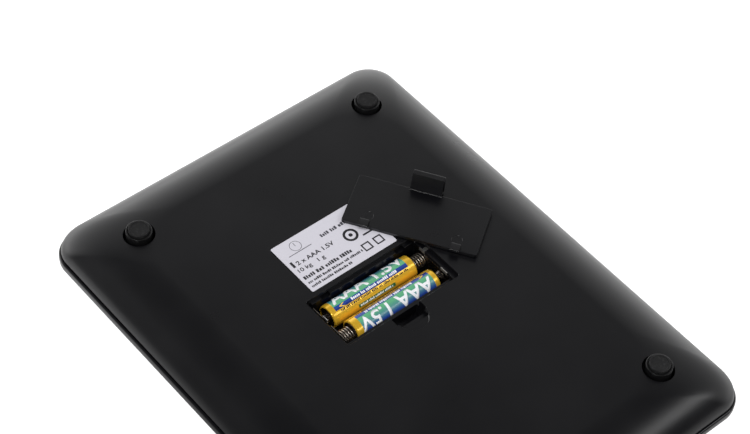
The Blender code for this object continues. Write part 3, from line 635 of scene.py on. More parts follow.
def battery_wrap():
    """Metallised shrink film: gold ends and field, an arrow band, a green to blue field, and a dark blue band
    of painted shade low on the cell's side.
    """
    made, add, shader, where = start_material(
        "metallised_shrink_film", tint("gold"), 0.24, IOR=1.5, Coat_Weight=0.35, Coat_Roughness=0.12
    )
    along, round_it, _ = add("SeparateXYZ", {"Vector": add("UVMap", {}, uv_map="around")}).outputs
    ramp = add("ValToRGB", {"Fac": round_it})
    gold, blue, green = tint("gold"), tint("blue"), tint("green")
    # painted shade: a darker copy of the blue, low on each cell's side, stands for the shade where the cell
    # sinks into the bay
    painted_shade_blue = scaled(blue, 0.35)
    teal = tuple((a + b) / 2 for a, b in zip(green, blue))
    # share of the way round, from the middle of the arrow band
    stops = [
        (0.000, blue), (0.028, blue), (0.030, green), (0.075, green), (0.150, teal), (0.215, blue),
        (0.290, painted_shade_blue), (0.330, painted_shade_blue), (0.332, gold), (0.970, gold), (0.972, blue),
    ]
    fill_ramp(ramp, stops)
    negative_end = add("Math", {0: along, 1: 0.075}, operation="LESS_THAN")
    positive_end = add("Math", {0: along, 1: 0.945}, operation="GREATER_THAN")
    gold_field = add("Math", {0: round_it, 1: 0.331}, operation="GREATER_THAN")
    ends = add("Math", {0: negative_end, 1: positive_end}, operation="MAXIMUM")
    is_gold = add("Math", {0: ends, 1: gold_field}, operation="MAXIMUM")
    banded = add("Mix", {FACTOR: ends, FIRST: ramp, SECOND: gold}, data_type="RGBA")
    fleck = add("TexNoise", {"Vector": where, "Scale": 1 / (0.4 * MM)})
    wrinkles = add("TexNoise", {"Vector": where, "Scale": 1 / (3 * MM)})
    dots = add("MapRange", {"Value": fleck, "From Min": 0.3, "From Max": 0.7, "To Max": 0.06})
    tones = {FACTOR: dots, FIRST: banded, SECOND: (0.0, 0.0, 0.0, 1.0)}
    wire(
        shader,
        {
            "Base Color": add("Mix", tones, data_type="RGBA"),
            "Metallic": add("Math", {0: is_gold, 1: 0.45}, operation="MULTIPLY"),
            "Normal": add("Bump", {"Height": wrinkles, "Distance": 0.02 * MM}),
        },
    )
    return made


def glass_finish():
    """Float glass, screen printed black on its inner face, with a tinted window and two touch-key signs."""
    black = (0.004, 0.004, 0.005, 1)
    made, add, shader, where = start_material("back_printed_float_glass", black, 0.03, IOR=1.52)
    smear = add("TexNoise", {"Vector": where, "Scale": 1 / (35 * MM), "Detail": 5.0})
    x, y, z = add("SeparateXYZ", {"Vector": where}).outputs
    centre, half = middle("lcd_panel"), span("lcd_panel") / 2
    key = middle("touch_spring_right")
    across = add("Math", {0: x, 1: 0.0, 2: half.x - 2 * MM}, operation="COMPARE")
    up_down = add("Math", {0: y, 1: centre.y, 2: half.y - MM}, operation="COMPARE")
    window = add("Math", {0: across, 1: up_down}, operation="MULTIPLY")
    # each key has a ring with a short upright bar in it, and the two keys mirror each other
    beside = add("Math", {0: x}, operation="ABSOLUTE")
    side = add("Math", {0: beside, 1: key.x}, operation="SUBTRACT")
    up = add("Math", {0: y, 1: key.y}, operation="SUBTRACT")
    reach = add("VectorMath", {0: add("CombineXYZ", {"X": side, "Y": up})}, operation="LENGTH")
    ring = add("Math", {0: reach, 1: 2.85 * MM, 2: 0.25 * MM}, operation="COMPARE")
    narrow = add("Math", {0: side, 1: 0.0, 2: 0.25 * MM}, operation="COMPARE")
    short = add("Math", {0: up, 1: 0.0, 2: 1.4 * MM}, operation="COMPARE")
    bar = add("Math", {0: narrow, 1: short}, operation="MULTIPLY")
    signs = add("Math", {0: ring, 1: bar}, operation="MAXIMUM")
    outer = add("Math", {0: z, 1: MM}, operation="LESS_THAN")
    marks = add("Math", {0: signs, 1: outer}, operation="MULTIPLY")
    glass_tones = {FACTOR: window, FIRST: black, SECOND: (0.016, 0.018, 0.016, 1)}
    tinted = add("Mix", glass_tones, data_type="RGBA")
    tones = {FACTOR: marks, FIRST: tinted, SECOND: (0.55, 0.56, 0.58, 1)}
    gloss = {"Value": smear, "From Min": 0.3, "From Max": 0.7, "To Min": 0.02, "To Max": 0.07}
    wire(shader, {"Base Color": add("Mix", tones, data_type="RGBA"), "Roughness": add("MapRange", gloss)})
    return made


def circuit_board():
    """Solder-masked glass-fibre board: green lacquer over a fine woven cloth and copper tracks."""
    green = (0.006, 0.07, 0.025, 1)
    made, add, shader, where = start_material("solder_masked_board", green, 0.4)
    weave = add("TexBrick", {"Vector": where, "Scale": 60.0, "Mortar Size": 0.01}).outputs["Fac"]
    tracks = add("MapRange", {"Value": weave, "To Max": 0.6})
    tones = {FACTOR: tracks, FIRST: green, SECOND: (0.02, 0.16, 0.06, 1)}
    wire(
        shader,
        {
            "Base Color": add("Mix", tones, data_type="RGBA"),
            "Normal": add("Bump", {"Height": weave, "Distance": 0.03 * MM}),
        },
    )
    return made


def closed_foam():
    """Closed-cell foam tape: matt, with small open pores at its cut edge."""
    made, add, shader, where = start_material("closed_cell_foam", (0.025, 0.025, 0.026, 1), 0.9)
    pores = add("TexVoronoi", {"Vector": where, "Scale": 1 / (0.6 * MM)})
    wire(shader, {"Normal": add("Bump", {"Height": pores, "Distance": 0.05 * MM})})
    return made


# ---------------------------------------------------------------- casing
def pillow(half, margin, low, high, radii, steps):
    """Levels of the pillow-shaped casing, a quarter ellipse from its rim up to the flat."""
    levels = []
    for k in range(steps + 1):
        turn = k / steps * pi / 2
        share = 1 - cos(turn)
        radius = radii[0] + (radii[1] - radii[0]) * share
        levels.append((less(half, margin * share), radius, low + (high - low) * sin(turn)))
    return levels


def shell_body():
    """The casing's outer skin, hollowed, with its mouth at the glass."""
    s = shape()
    half = (HALF_X, HALF_Y)
    radii = (s.rim_radius, s.flat_radius)
    inner_radii = (s.rim_radius - s.wall, s.flat_radius - s.wall)
    margin = s.margin - s.wall / 2
    flange_top = RIM_Z + FLANGE_T
    outer = pillow(half, s.margin, RIM_Z, UNDER_Z, radii, s.margin_steps)
    inner = pillow(less(half, s.wall), margin, flange_top, UNDER_Z - s.wall, inner_radii, 10)
    mouth = [(less(half, FLANGE_W), MOUTH_R, z) for z in (RIM_Z - MM, flange_top + MM)]
    shell = object_from("casing", loft(outer, s.corner_steps))
    carve(shell, [loft(levels, s.corner_steps) for levels in (inner, mouth)])
    return shell


def bay_walls(shell, ceiling):
    """The tray that hangs inside the casing: a ledge for the cover, the well and the latch's pocket."""
    lap = 1 * MM
    ledge_low = LEDGE_Z - LEDGE_T
    blocks = (
        (
            (-OPENING[0] - BAY_WALL, BAY_Y - OPENING[1] - BAY_WALL, ledge_low),
            (OPENING[0] + BAY_WALL, BAY_Y + OPENING[1] + BAY_WALL + TAB_REACH, ceiling + lap),
        ),
        (
            (-BAY_HALF_X - BAY_WALL, BAY_LOW_Y - BAY_WALL, SHELL_LOW.z),
            (BAY_HALF_X + BAY_WALL, BAY_HIGH_Y + BAY_WALL, ledge_low + lap),
        ),
        (
            (-NOTCH_HALF - BAY_WALL, FINGER_FAR - BAY_WALL, UNDER_Z - NOTCH_DEPTH - BAY_FLOOR),
            (NOTCH_HALF + BAY_WALL, BAY_LOW_Y, ceiling + lap),
        ),
    )
    added = []
    for low, high in blocks:
        bm = bmesh.new()
        place_box(bm, low, high)
        added.append(bm)
    carve(shell, added, "UNION")


def between(left, near, right, far):
    """Half sizes and middle of a plan rectangle."""
    return ((right - left) / 2, (far - near) / 2), ((left + right) / 2, (near + far) / 2)


def bay_cuts(edge):
    """The cover's opening, the well, the latch's notch and the finger's recess."""
    cuts = [flared(OPENING, 1 * MM, LEDGE_Z, UNDER_Z, edge, (0, BAY_Y), 6)]
    well = (-BAY_HALF_X, BAY_LOW_Y, BAY_HALF_X, BAY_HIGH_Y)
    notch = (-NOTCH_HALF, NOTCH_FAR, NOTCH_HALF, NOTCH_NEAR)
    finger = (-FINGER_HALF, FINGER_FAR, FINGER_HALF, NOTCH_FAR + MM)
    for plan, radius, low, top in (
        (well, 0.6 * MM, BAY_FLOOR_Z, LEDGE_Z),
        (notch, 0.4 * MM, UNDER_Z - NOTCH_DEPTH, UNDER_Z),
        (finger, 0.4 * MM, UNDER_Z - FINGER_DEPTH, UNDER_Z),
    ):
        half, at = between(*plan)
        cuts.append(flared(half, radius, low, top, edge, at))
    return cuts


def ledge_cuts():
    """The cover rests on the far and right sides of the opening; the near and left ones lie deeper."""
    inset, lap = 0.05 * MM, 0.5 * MM
    left, near = -OPENING[0] + inset, BAY_Y - OPENING[1] + inset
    cuts = []
    for plan in (
        (left, near, BAY_HALF_X - 0.3 * MM, BAY_LOW_Y + lap),
        (left, near + 0.02 * MM, -BAY_HALF_X + lap, BAY_Y + OPENING[1] - inset),
    ):
        half, at = between(*plan)
        levels = [(half, 0.8 * MM, z, at) for z in (LEDGE_Z - DEEP_LEDGE, LEDGE_Z + 0.3 * MM)]
        cuts.append(loft(levels, 4))
    return cuts


def scoop_cut():
    """The finger's round scoop."""
    low, over, rim, lip = UNDER_Z - SCOOP_DEPTH, UNDER_Z + MM, 0.2 * MM, 0.04 * MM
    profile = [
        (0, low), (SCOOP_R - rim, low), (SCOOP_R, low + rim), (SCOOP_R, UNDER_Z - lip),
        (SCOOP_R + lip, UNDER_Z), (SCOOP_R + lip, over), (0, over),
    ]
    # it stands just past the notch's wall, so that no corner of it lies in that wall
    return turned(profile, 64, (0, NOTCH_FAR - 0.02 * MM))


def foot_cuts(edge):
    """The four holes that the feet stand in."""
    low, over, mouth = UNDER_Z - 6 * MM, UNDER_Z + MM, FOOT_HOLE_R + edge
    profile = [
        (0, low), (FOOT_HOLE_R, low), (FOOT_HOLE_R, UNDER_Z - edge),
        (mouth, UNDER_Z), (mouth, over), (0, over),
    ]
    cuts = []
    for corner in CORNERS:
        cuts.append(turned(profile, 72, tuple(middle(f"foot_cup_{corner}"))[:2]))
    return cuts


def slot_cuts():
    """The slots for the cover's hook tabs."""
    half = (TAB_HALF + 0.3 * MM, 1.6 * MM)
    top = UNDER_Z - COVER_T + 0.1 * MM
    cuts = []
    for side in (-1, 1):
        at = (side * TAB_X, BAY_Y + OPENING[1] - 0.4 * MM)
        cuts.append(loft([(half, 0.3 * MM, z, at) for z in (top - 1.8 * MM, top)], 2))
    return cuts


def label_cut():
    """The shallow pocket that the label lies in."""
    x, y, _ = middle("rating_label")
    half = less(tuple(span("rating_label") / 2)[:2], -0.3 * MM)
    return flared(half, 0.5 * MM, UNDER_Z - 0.15 * MM, UNDER_Z, 0.1 * MM, (x, y))


def casing():
    edge = shape().edge
    shell = shell_body()
    bay_walls(shell, UNDER_Z - shape().wall)
    carve(shell, bay_cuts(edge))
    carve(shell, [scoop_cut(), *ledge_cuts(), *slot_cuts(), *foot_cuts(edge), label_cut()])
    finished(shell, satin_abs(), 24)
    settle(shell, "casing", "satin_black_abs", "base_shell")


# ---------------------------------------------------------------- cover
def hook_tab(centre):
    """A hook tab, which stands on the panel's inner face and reaches past its far edge."""
    y, top = -COVER_Y / 2, COVER_T + TAB_RISE
    hook = [
        (y + 2.7 * MM, COVER_T - 0.5 * MM),
        (y + 2.7 * MM, top - 0.15 * MM),
        (y + 2.2 * MM, top),
        (y - TAB_REACH + 0.05 * MM, top),
        (y - TAB_REACH, top - 0.05 * MM),
        (y - TAB_REACH, COVER_T + 0.1 * MM),
        (y + 0.4 * MM, COVER_T + 0.1 * MM),
        (y + 0.4 * MM, COVER_T - 0.5 * MM),
    ]
    return extruded(hook, centre - TAB_HALF, centre + TAB_HALF)


def cover_panel():
    """The flat panel with its rounded edge, hook tabs, the latch's plinth and two ejector marks."""
    edge = 0.2 * MM
    half = (COVER_X / 2, COVER_Y / 2)
    steps = ((edge, 0.7 * MM, 0.0), (edge * 0.3, 0.8 * MM, edge * 0.3), (0.0, 0.9 * MM, edge))
    levels = [(less(half, inset), radius, z) for inset, radius, z in steps]
    levels += [(less(half, inset), radius, COVER_T - z) for inset, radius, z in reversed(steps)]
    panel = object_from("battery_cover", loft(levels, 6))
    low, top = COVER_T - 0.4 * MM, COVER_T + 0.22 * MM
    plinth = [
        (LATCH_FACE_Y - 0.25 * MM, low),
        (LATCH_FACE_Y - 0.25 * MM, COVER_T),
        (LATCH_FACE_Y, top),
        (LATCH_FACE_Y + LATCH_T, top),
        (LATCH_FACE_Y + LATCH_T, low),
    ]
    plinth_half = LATCH_HALF + 0.1 * MM
    joined = [hook_tab(side * TAB_X) for side in (-1, 1)]
    carve(panel, [*joined, extruded(plinth, -plinth_half, plinth_half)], "UNION")
    low, over = COVER_T - 0.1 * MM, COVER_T + MM
    dip = [(0, low), (2.2 * MM, low), (2.3 * MM, COVER_T), (2.3 * MM, over), (0, over)]
    carve(panel, [turned(dip, 48, (side * 19 * MM, -7.5 * MM)) for side in (-1, 1)])
    return panel


def latch_outline():
    """The folded latch from the side: a leaning front leg, a flat top and a free arm with a catch."""
    foot = COVER_T + 0.3 * MM
    top = COVER_T + LATCH_H
    low = top - LATCH_T
    end = 0.5 * MM
    near, far = LATCH_FACE_Y + 2.3 * MM, LATCH_FACE_Y + 5.0 * MM
    arm = far - LATCH_T
    catch = COVER_T + 2.3 * MM
    catch_y = far + 0.5 * MM
    outer = rounded([(far - MM, top), (far, top), (far, catch + 1.4 * MM)], 0.7 * MM, 6)
    inner = [(arm, end), (arm, low), (near + 0.8 * MM, low), (LATCH_FACE_Y + LATCH_T, foot)]
    return [
        (LATCH_FACE_Y, foot),
        (near, top),
        *outer,
        (catch_y, catch + 0.2 * MM),
        (catch_y, catch),
        (far, catch),
        (far, end + 0.1 * MM),
        (far - 0.15 * MM, end),
        *rounded(inner, 0.3 * MM),
    ]


def cover():
    finish = satin_abs()
    place = cover_place()
    panel = cover_panel()
    latch = object_from("cover_latch_fine", extruded(latch_outline(), -LATCH_HALF, LATCH_HALF))
    break_edges(latch, 0.12 * MM, 80)
    for piece, body, node in ((panel, "cover", "cover_panel"), (latch, "latch", "cover_latch")):
        piece.data.transform(place)
        finished(piece, finish, 30)
        settle(piece, body, "satin_black_abs", node)


# ---------------------------------------------------------------- feet
def feet():
    plastic = plain_plastic("black_foot_plastic", tint("inner"), 0.38)
    rubber = foot_rubber()
    for corner in CORNERS:
        cup_low, cup_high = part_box(f"foot_cup_{corner}")
        pad_low, pad_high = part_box(f"foot_pad_{corner}")
        at = tuple((cup_low + cup_high) / 2)[:2]
        cup_r = (cup_high.x - cup_low.x) / 2
        pad_r = (pad_high.x - pad_low.x) / 2
        skirt = cup_high.z - 10.3 * MM
        bore = pad_r + 0.1 * MM
        seat = pad_low.z - 0.1 * MM
        cup = [
            (0, cup_low.z), (1.6 * MM, cup_low.z), (1.6 * MM, skirt), (cup_r, skirt),
            (cup_r, cup_high.z), (bore, cup_high.z), (bore, seat), (0, seat),
        ]
        cup = rounded(cup, 0.35 * MM)
        piece = object_from(f"foot_{corner}_cup", turned(cup, 72, at), plastic, 30)
        settle(piece, f"foot_{corner}", "inner_black_abs", f"foot_cup_{corner}")
        mid = pad_high.z - 0.15 * MM
        rim = [(pad_r, pad_low.z), (pad_r, pad_high.z), (pad_r * 0.8, pad_high.z)]
        pad = rounded([(0, pad_low.z), *rim], 0.45 * MM)
        pad += [(pad_r * 0.78, mid), (pad_r * 0.3, mid), (0, mid)]
        piece = object_from(f"foot_{corner}_pad", turned(pad, 72, at), rubber, 30)
        settle(piece, f"foot_{corner}", "foot_rubber", f"foot_pad_{corner}")


# ---------------------------------------------------------------- label
def label():
    """The rating label, a thin sheet with generic print on it."""
    low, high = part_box("rating_label")
    size = high - low
    half = (size.x / 2, size.y / 2)
    at = tuple((low + high) / 2)[:2]
    edge = 0.04 * MM
    levels = [
        (half, 0.6 * MM, low.z, at),
        (half, 0.6 * MM, high.z - edge, at),
        (less(half, edge), 0.56 * MM, high.z, at),
    ]
    sheet = object_from("rating_sticker", loft(levels, 6), label_vinyl(), 30)
    settle(sheet, "casing", "label_vinyl", "rating_label")

    prints = label_print(size)
    finishes = {"bold": ink("label_ink", tint("ink")), "fine": ink("label_fine_ink", rgba("#3c3c44"))}
    for kind, finish in finishes.items():
        bm = prints[kind]
        thicken(bm)
        bmesh.ops.translate(bm, vec=(low.x, low.y, high.z + 0.002 * MM), verts=bm.verts)
        settle(object_from(f"label_{kind}_print", bm, finish), "casing", "label_vinyl")


def thicken(bm):
    """Gives flat print the thickness of its ink."""
    push(bm, bm.faces[:], (0, 0, PRINT_THICK))


def label_print(size):
    """Generic print from the label's lower left corner: a weighing sign, ratings and lines of marks."""
    chance = random.Random(4)
    bold, fine = bmesh.new(), bmesh.new()
    top = size.y
    dial = (9.4 * MM, top - 4.6 * MM)
    arc_strip(fine, dial, 2.4 * MM, 2.6 * MM, 0, 2 * pi, 48)
    patch(fine, dial[0] - 0.12 * MM, dial[1], dial[0] + 0.12 * MM, dial[1] + 1.8 * MM)
    patch(fine, dial[0] - 5.8 * MM, dial[1] - 3.3 * MM, dial[0] + 5.8 * MM, dial[1] - 3.0 * MM)
    dash_line(fine, chance, 20.8 * MM, 34.0 * MM, top - 7.6 * MM, 1.7 * MM)
    patch(bold, 1.7 * MM, top - 13.5 * MM, 2.8 * MM, top - 10.2 * MM)
    place_text(bold, "2 x AAA 1.5V", 2.2 * MM, 3.9 * MM, top - 13.4 * MM, 19.0 * MM, 0.07 * MM)
    place_text(bold, "10 kg   1 g", 2.6 * MM, 2.0 * MM, top - 17.4 * MM, 13.5 * MM, 0.07 * MM)
    dash_line(bold, chance, 1.5 * MM, 27.0 * MM, top - 20.9 * MM, 1.75 * MM)
    dash_line(bold, chance, 1.5 * MM, 30.0 * MM, top - 23.4 * MM, 1.2 * MM)
    dash_line(bold, chance, 1.5 * MM, 23.0 * MM, top - 25.7 * MM, 1.2 * MM)
    ring = (31.0 * MM, top - 13.7 * MM)
    arc_strip(bold, ring, 2.2 * MM, 3.3 * MM, 0, 2 * pi, 48)
    arc_strip(bold, ring, 0.05 * MM, 0.9 * MM, 0, 2 * pi, 24)
    patch(bold, 35.0 * MM, top - 17.3 * MM, 40.3 * MM, top - 16.5 * MM)
    for x in (32.6, 38.7):
        arc_strip(bold, (x * MM, top - 22.4 * MM), 2.0 * MM, 2.9 * MM, pi / 4, 2 * pi, 4)
    return {"bold": bold, "fine": fine}


# ---------------------------------------------------------------- batteries
def battery_frame(centre, positive):
    """Local +Z to the positive end, local +X up, so that angles run round the cell from its top."""
    axis = Vector((positive, 0, 0))
    side = axis.cross(Z_AXIS)
    place = Matrix((Z_AXIS, side, axis)).transposed().to_4x4()
    place.translation = centre
    return place


def share_round(point, turn):
    """Share of the way round the sleeve, from the middle of its arrow band, in the cell's own frame."""
    return (atan2(point.y, point.x) + turn) / (2 * pi) % 1.0


def wrap_sleeve(name, place, finish, turn):
    """The printed sleeve, with a UV map of (share along, share round) for its print."""
    half = CELL_LONG / 2
    low, high = -half, half - NUB_LONG
    r = CELL_R
    hem = r - 0.75 * MM
    profile = [(hem, low + 0.02 * MM), (r - 0.3 * MM, low + 0.06 * MM), (r - 0.07 * MM, low + 0.25 * MM)]
    profile += [(r, low + 0.6 * MM), (r, high - 0.8 * MM), (r - 0.08 * MM, high - 0.4 * MM)]
    profile += [(r - 0.3 * MM, high - 0.1 * MM), (hem, high), (hem, high - 0.3 * MM), (hem, low + 0.4 * MM)]
    profile.append(profile[0])
    bm = turned(profile, 96)
    layer = bm.loops.layers.uv.new("around")
    for face in bm.faces:
        inner = face.calc_center_median()
        centre_share = share_round(inner, turn)
        for loop in face.loops:
            share = share_round(loop.vert.co, turn)
            share += round(centre_share - share)
            loop[layer].uv = ((loop.vert.co.z - low) / (high - low), share)
    bmesh.ops.transform(bm, matrix=place, verts=bm.verts)
    bmesh.ops.recalc_face_normals(bm, faces=bm.faces)
    return object_from(name, bm, finish, 35)


def cell_ends(name, place, finish):
    """Bare steel at both ends, with the positive nub."""
    half = CELL_LONG / 2
    body = half - NUB_LONG
    r = CELL_R - 0.75 * MM
    shoulder = body - 0.25 * MM
    profile = [
        (0, -half), (r, -half), (r, shoulder), (2.6 * MM, shoulder), (2.3 * MM, body),
        (1.9 * MM, body), (1.9 * MM, half), (0, half),
    ]
    bm = turned(rounded(profile, 0.25 * MM), 64)
    bmesh.ops.transform(bm, matrix=place, verts=bm.verts)
    return object_from(name, bm, finish, 35)


def bend_round(bm, place, turn, lift):
    """Wraps flat print round the sleeve: X from the positive end, Y round from the arrow band."""
    for k in range(-24, 25):
        geometry = bm.verts[:] + bm.edges[:] + bm.faces[:]
        fold = (0, k * 0.6 * MM, 0)
        bmesh.ops.bisect_plane(bm, geom=geometry, plane_co=fold, plane_no=(0, 1, 0), dist=1e-8)
    positive_end = CELL_LONG / 2 - NUB_LONG
    for v in bm.verts:
        r = CELL_R + lift + v.co.z
        a = v.co.y / CELL_R - turn
        v.co = (r * cos(a), r * sin(a), positive_end - v.co.x)
    bmesh.ops.transform(bm, matrix=place, verts=bm.verts)


def patch(bm, left, low, right, high):
    """A flat rectangle of print."""
    corners = [(left, low, 0), (right, low, 0), (right, high, 0), (left, high, 0)]
    bm.faces.new([bm.verts.new(c) for c in corners])


def dash_line(bm, chance, left, right, low, tall):
    """Upright marks in word groups, which stand for a line of small print."""
    while left < right:
        for _ in range(chance.randint(3, 8)):
            wide = tall * chance.uniform(0.35, 0.65)
            if left + wide > right:
                return
            patch(bm, left, low, left + wide, low + tall * chance.choice((0.75, 1.0)))
            left += wide + tall * 0.18
        left += tall * 0.45


def place_text(bm, text, tall, left, low, width, weight=0.0):
    """Adds flat letters of that height and width with their lower left corner there."""
    letters = lettering(text, tall / 0.7, weight)
    lows = [min(v.co[k] for v in letters.verts) for k in (0, 1)]
    wide = max(v.co.x for v in letters.verts) - lows[0]
    high = max(v.co.y for v in letters.verts) - lows[1]
    bmesh.ops.translate(letters, vec=(-lows[0], -lows[1], 0), verts=letters.verts)
    bmesh.ops.scale(letters, vec=(width / wide, tall / high, 1), verts=letters.verts)
    bmesh.ops.translate(letters, vec=(left, low, 0), verts=letters.verts)
    merge_into(bm, letters)


def around(degrees):
    """Distance round the sleeve for an angle from the middle of its arrow band."""
    return radians(degrees) * CELL_R


def cell_print(chance):
    """Generic print in its inks, laid out flat."""
    prints = {ink_name: bmesh.new() for ink_name in ("white", "black", "green", "gold")}
    long = CELL_LONG - NUB_LONG
    place_text(prints["white"], "AAA 1.5V", 6.3 * MM, 3.2 * MM, around(17), 37.5 * MM, 0.22 * MM)
    dash_line(prints["white"], chance, 11.0 * MM, long - 8 * MM, around(-5), 1.2 * MM)
    arrow = [(4.6, 0), (6.6, 9), (7.6, 9), (5.6, 0), (7.6, -9), (6.6, -9)]
    corners = [prints["gold"].verts.new((x * MM, around(a), 0)) for x, a in arrow]
    prints["gold"].faces.new(reversed(corners))
    dash_line(prints["black"], chance, 4.5 * MM, long - 4 * MM, around(-24), 1.0 * MM)
    patch(prints["green"], long * 0.29, around(-58), long * 0.73, around(-40))
    dash_line(prints["white"], chance, long * 0.31, long * 0.71, around(-54), 0.95 * MM)
    for k in range(4):
        dash_line(prints["black"], chance, 4.5 * MM, long - 4.5 * MM, around(-84 - 19 * k), 0.85 * MM)
    for end in (2.6 * MM, long - 4.4 * MM):
        sign = "+" if end < long / 2 else "-"
        place_text(prints["black"], sign, 1.6 * MM, end, around(-140), 1.6 * MM)
    return prints


def batteries():
    wrap = battery_wrap()
    steel = plated("cell_end_steel", tint("nickel"), 0.25)
    inks = {
        "white": ink("white_wrap_ink", rgba("#eef0f6")),
        "black": ink("black_wrap_ink", rgba("#2a1f0c")),
        "green": ink("green_wrap_ink", rgba("#1c5c34")),
        "gold": ink("gold_wrap_ink", tint("gold")),
    }
    chance = random.Random(7)
    # each cell lies in the bay at its own turn about its axis
    for name, centre, positive, turn in (
        ("rear", REAR_CELL, -1, radians(17)),
        ("front", FRONT_CELL, 1, radians(20)),
    ):
        body = f"{name}_battery"
        place = battery_frame(centre, positive)
        sleeve = wrap_sleeve(f"{name}_cell_wrap", place, wrap, turn)
        settle(sleeve, body, "battery_wrap", f"battery_{name}")
        settle(cell_ends(f"{name}_cell_steel", place, steel), body, "nickel_plated_steel")
        for ink_name, bm in cell_print(chance).items():
            # white lies over the green panel
            thicken(bm)
            bend_round(bm, place, turn, (0.03 if ink_name == "white" else 0.015) * MM)
            bmesh.ops.recalc_face_normals(bm, faces=bm.faces)
            settle(object_from(f"{name}_cell_{ink_name}_print", bm, inks[ink_name]), body, "battery_wrap")


# ---------------------------------------------------------------- contacts
def coil(name, start, end, finish):
    """A compression spring between two points, with its end turns closed."""
    axis = end - start
    place = axis.to_track_quat("Z", "Y").to_matrix().to_4x4()
    place.translation = start
    turns = shape().spring_turns
    flat = 0.25  # share of a turn that lies flat at each end
    steps = round(turns * 36)
    curve = bpy.data.curves.new(name, "CURVE")
    curve.dimensions = "3D"
    curve.bevel_depth = WIRE_R
    curve.bevel_resolution = 3
    curve.use_fill_caps = True
    spline = curve.splines.new("POLY")
    spline.points.add(steps)
    for k, point in enumerate(spline.points):
        turned_by = k / steps * turns
        climb = min(max((turned_by - flat) / (turns - 2 * flat), 0), 1)
        angle_now = 2 * pi * turned_by
        spot = Vector((COIL_R * cos(angle_now), COIL_R * sin(angle_now), axis.length * climb))
        point.co = (*(place @ spot), 1)
    made = add_object(name, meshed(curve))
    made.data.materials.clear()
    made.data.materials.append(finish)
    made.data.shade_smooth()
    made.data.set_sharp_from_angle(angle=radians(50))
    return made


def contact_plate(name, node, dome_at, finish):
    """A stamped plate against the end wall of the bay, with a pressed dome where it meets a cell's nub."""
    low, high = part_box(node)
    side = 1 if middle(node).x > 0 else -1
    inner = high.x - PLATE_T if side > 0 else low.x + PLATE_T
    plate = bmesh.new()
    if side > 0:
        place_box(plate, (inner, low.y, low.z), high)
    else:
        place_box(plate, low, (inner, high.y, high.z))
    piece = object_from(name, plate)
    if dome_at:
        turns = [pi / 2 * k / 8 for k in range(8)]
        bowl = [(DOME_R * cos(a), DOME_REACH * sin(a)) for a in turns]
        back = -PLATE_T / 2
        dome = turned([(0, back), (DOME_R, back), *bowl, (0, DOME_REACH)], 40)
        place = Matrix.Translation((inner, *dome_at)) @ Matrix.Rotation(-side * pi / 2, 4, "Y")
        bmesh.ops.transform(dome, matrix=place, verts=dome.verts)
        carve(piece, [dome], "UNION")
    break_edges(piece, 0.08 * MM, 60)
    finished(piece, finish, 35)
    settle(piece, "casing", "nickel_plated_steel", node)


def lug(name, side, low_y, high_y, finish, tongue_y=None):
    """A lug that stands up from a contact to the ledge, and may have a round tongue folded out over it."""
    wall = side * BAY_HALF_X
    faces = sorted((wall - side * 0.5 * MM, wall - side * 0.1 * MM))
    post = bmesh.new()
    low = (faces[0], low_y, REAR_CELL.z + 3 * MM)
    place_box(post, low, (faces[1], high_y, LEDGE_Z + 0.16 * MM))
    piece = object_from(name, post)
    if tongue_y is not None:
        start, end = wall - side * 0.3 * MM, wall + side * 2.2 * MM
        half = (abs(end - start) / 2, 0.9 * MM)
        at = ((start + end) / 2, tongue_y)
        levels = [(half, 0.88 * MM, LEDGE_Z + z * MM, at) for z in (0.03, 0.14)]
        carve(piece, [loft(levels)], "UNION")
    finished(piece, finish, 35)
    settle(piece, "casing", "nickel_plated_steel")


def contacts():
    nickel = plated("nickel_plated_strip", tint("nickel"), 0.22)
    # painted highlight: the lugs are the same nickel plate as the strip, given a lighter copy of it that
    # stands for the light on their upturned faces
    bright_lug_metal = plated("lug_nickel_painted_bright", rgba("#f0eeea"), 0.45)
    # painted highlight: a lighter copy of the nickel, standing for the light on the coils' turns
    bright = plated("spring_nickel_painted_bright", tint("spring"), 0.32, 0.2 * MM)
    z = REAR_CELL.z
    contact_plate("bridge_contact", "contact_bridge", (FRONT_CELL.y, z), nickel)
    contact_plate("positive_contact", "contact_positive", (REAR_CELL.y, z), nickel)
    contact_plate("negative_contact", "contact_negative", None, nickel)
    lug("bridge_rear_lug", 1, 12.3 * MM, 15.5 * MM, bright_lug_metal, tongue_y=13.3 * MM)
    lug("bridge_front_lug", 1, -1.5 * MM, 2.2 * MM, bright_lug_metal)
    lug("positive_lug", -1, 9.1 * MM, 11.9 * MM, bright_lug_metal)
    for name, node, side, y in (
        ("rear_coil", "contact_spring_rear", 1, REAR_CELL.y),
        ("front_coil", "contact_spring_front", -1, FRONT_CELL.y),
    ):
        low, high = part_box(node)
        ends = [Vector((x, y, z)) for x in (low.x + WIRE_R, high.x - WIRE_R)]
        start, end = ends[::-side]
        settle(coil(name, start, end, bright), "casing", "nickel_plated_steel", node)


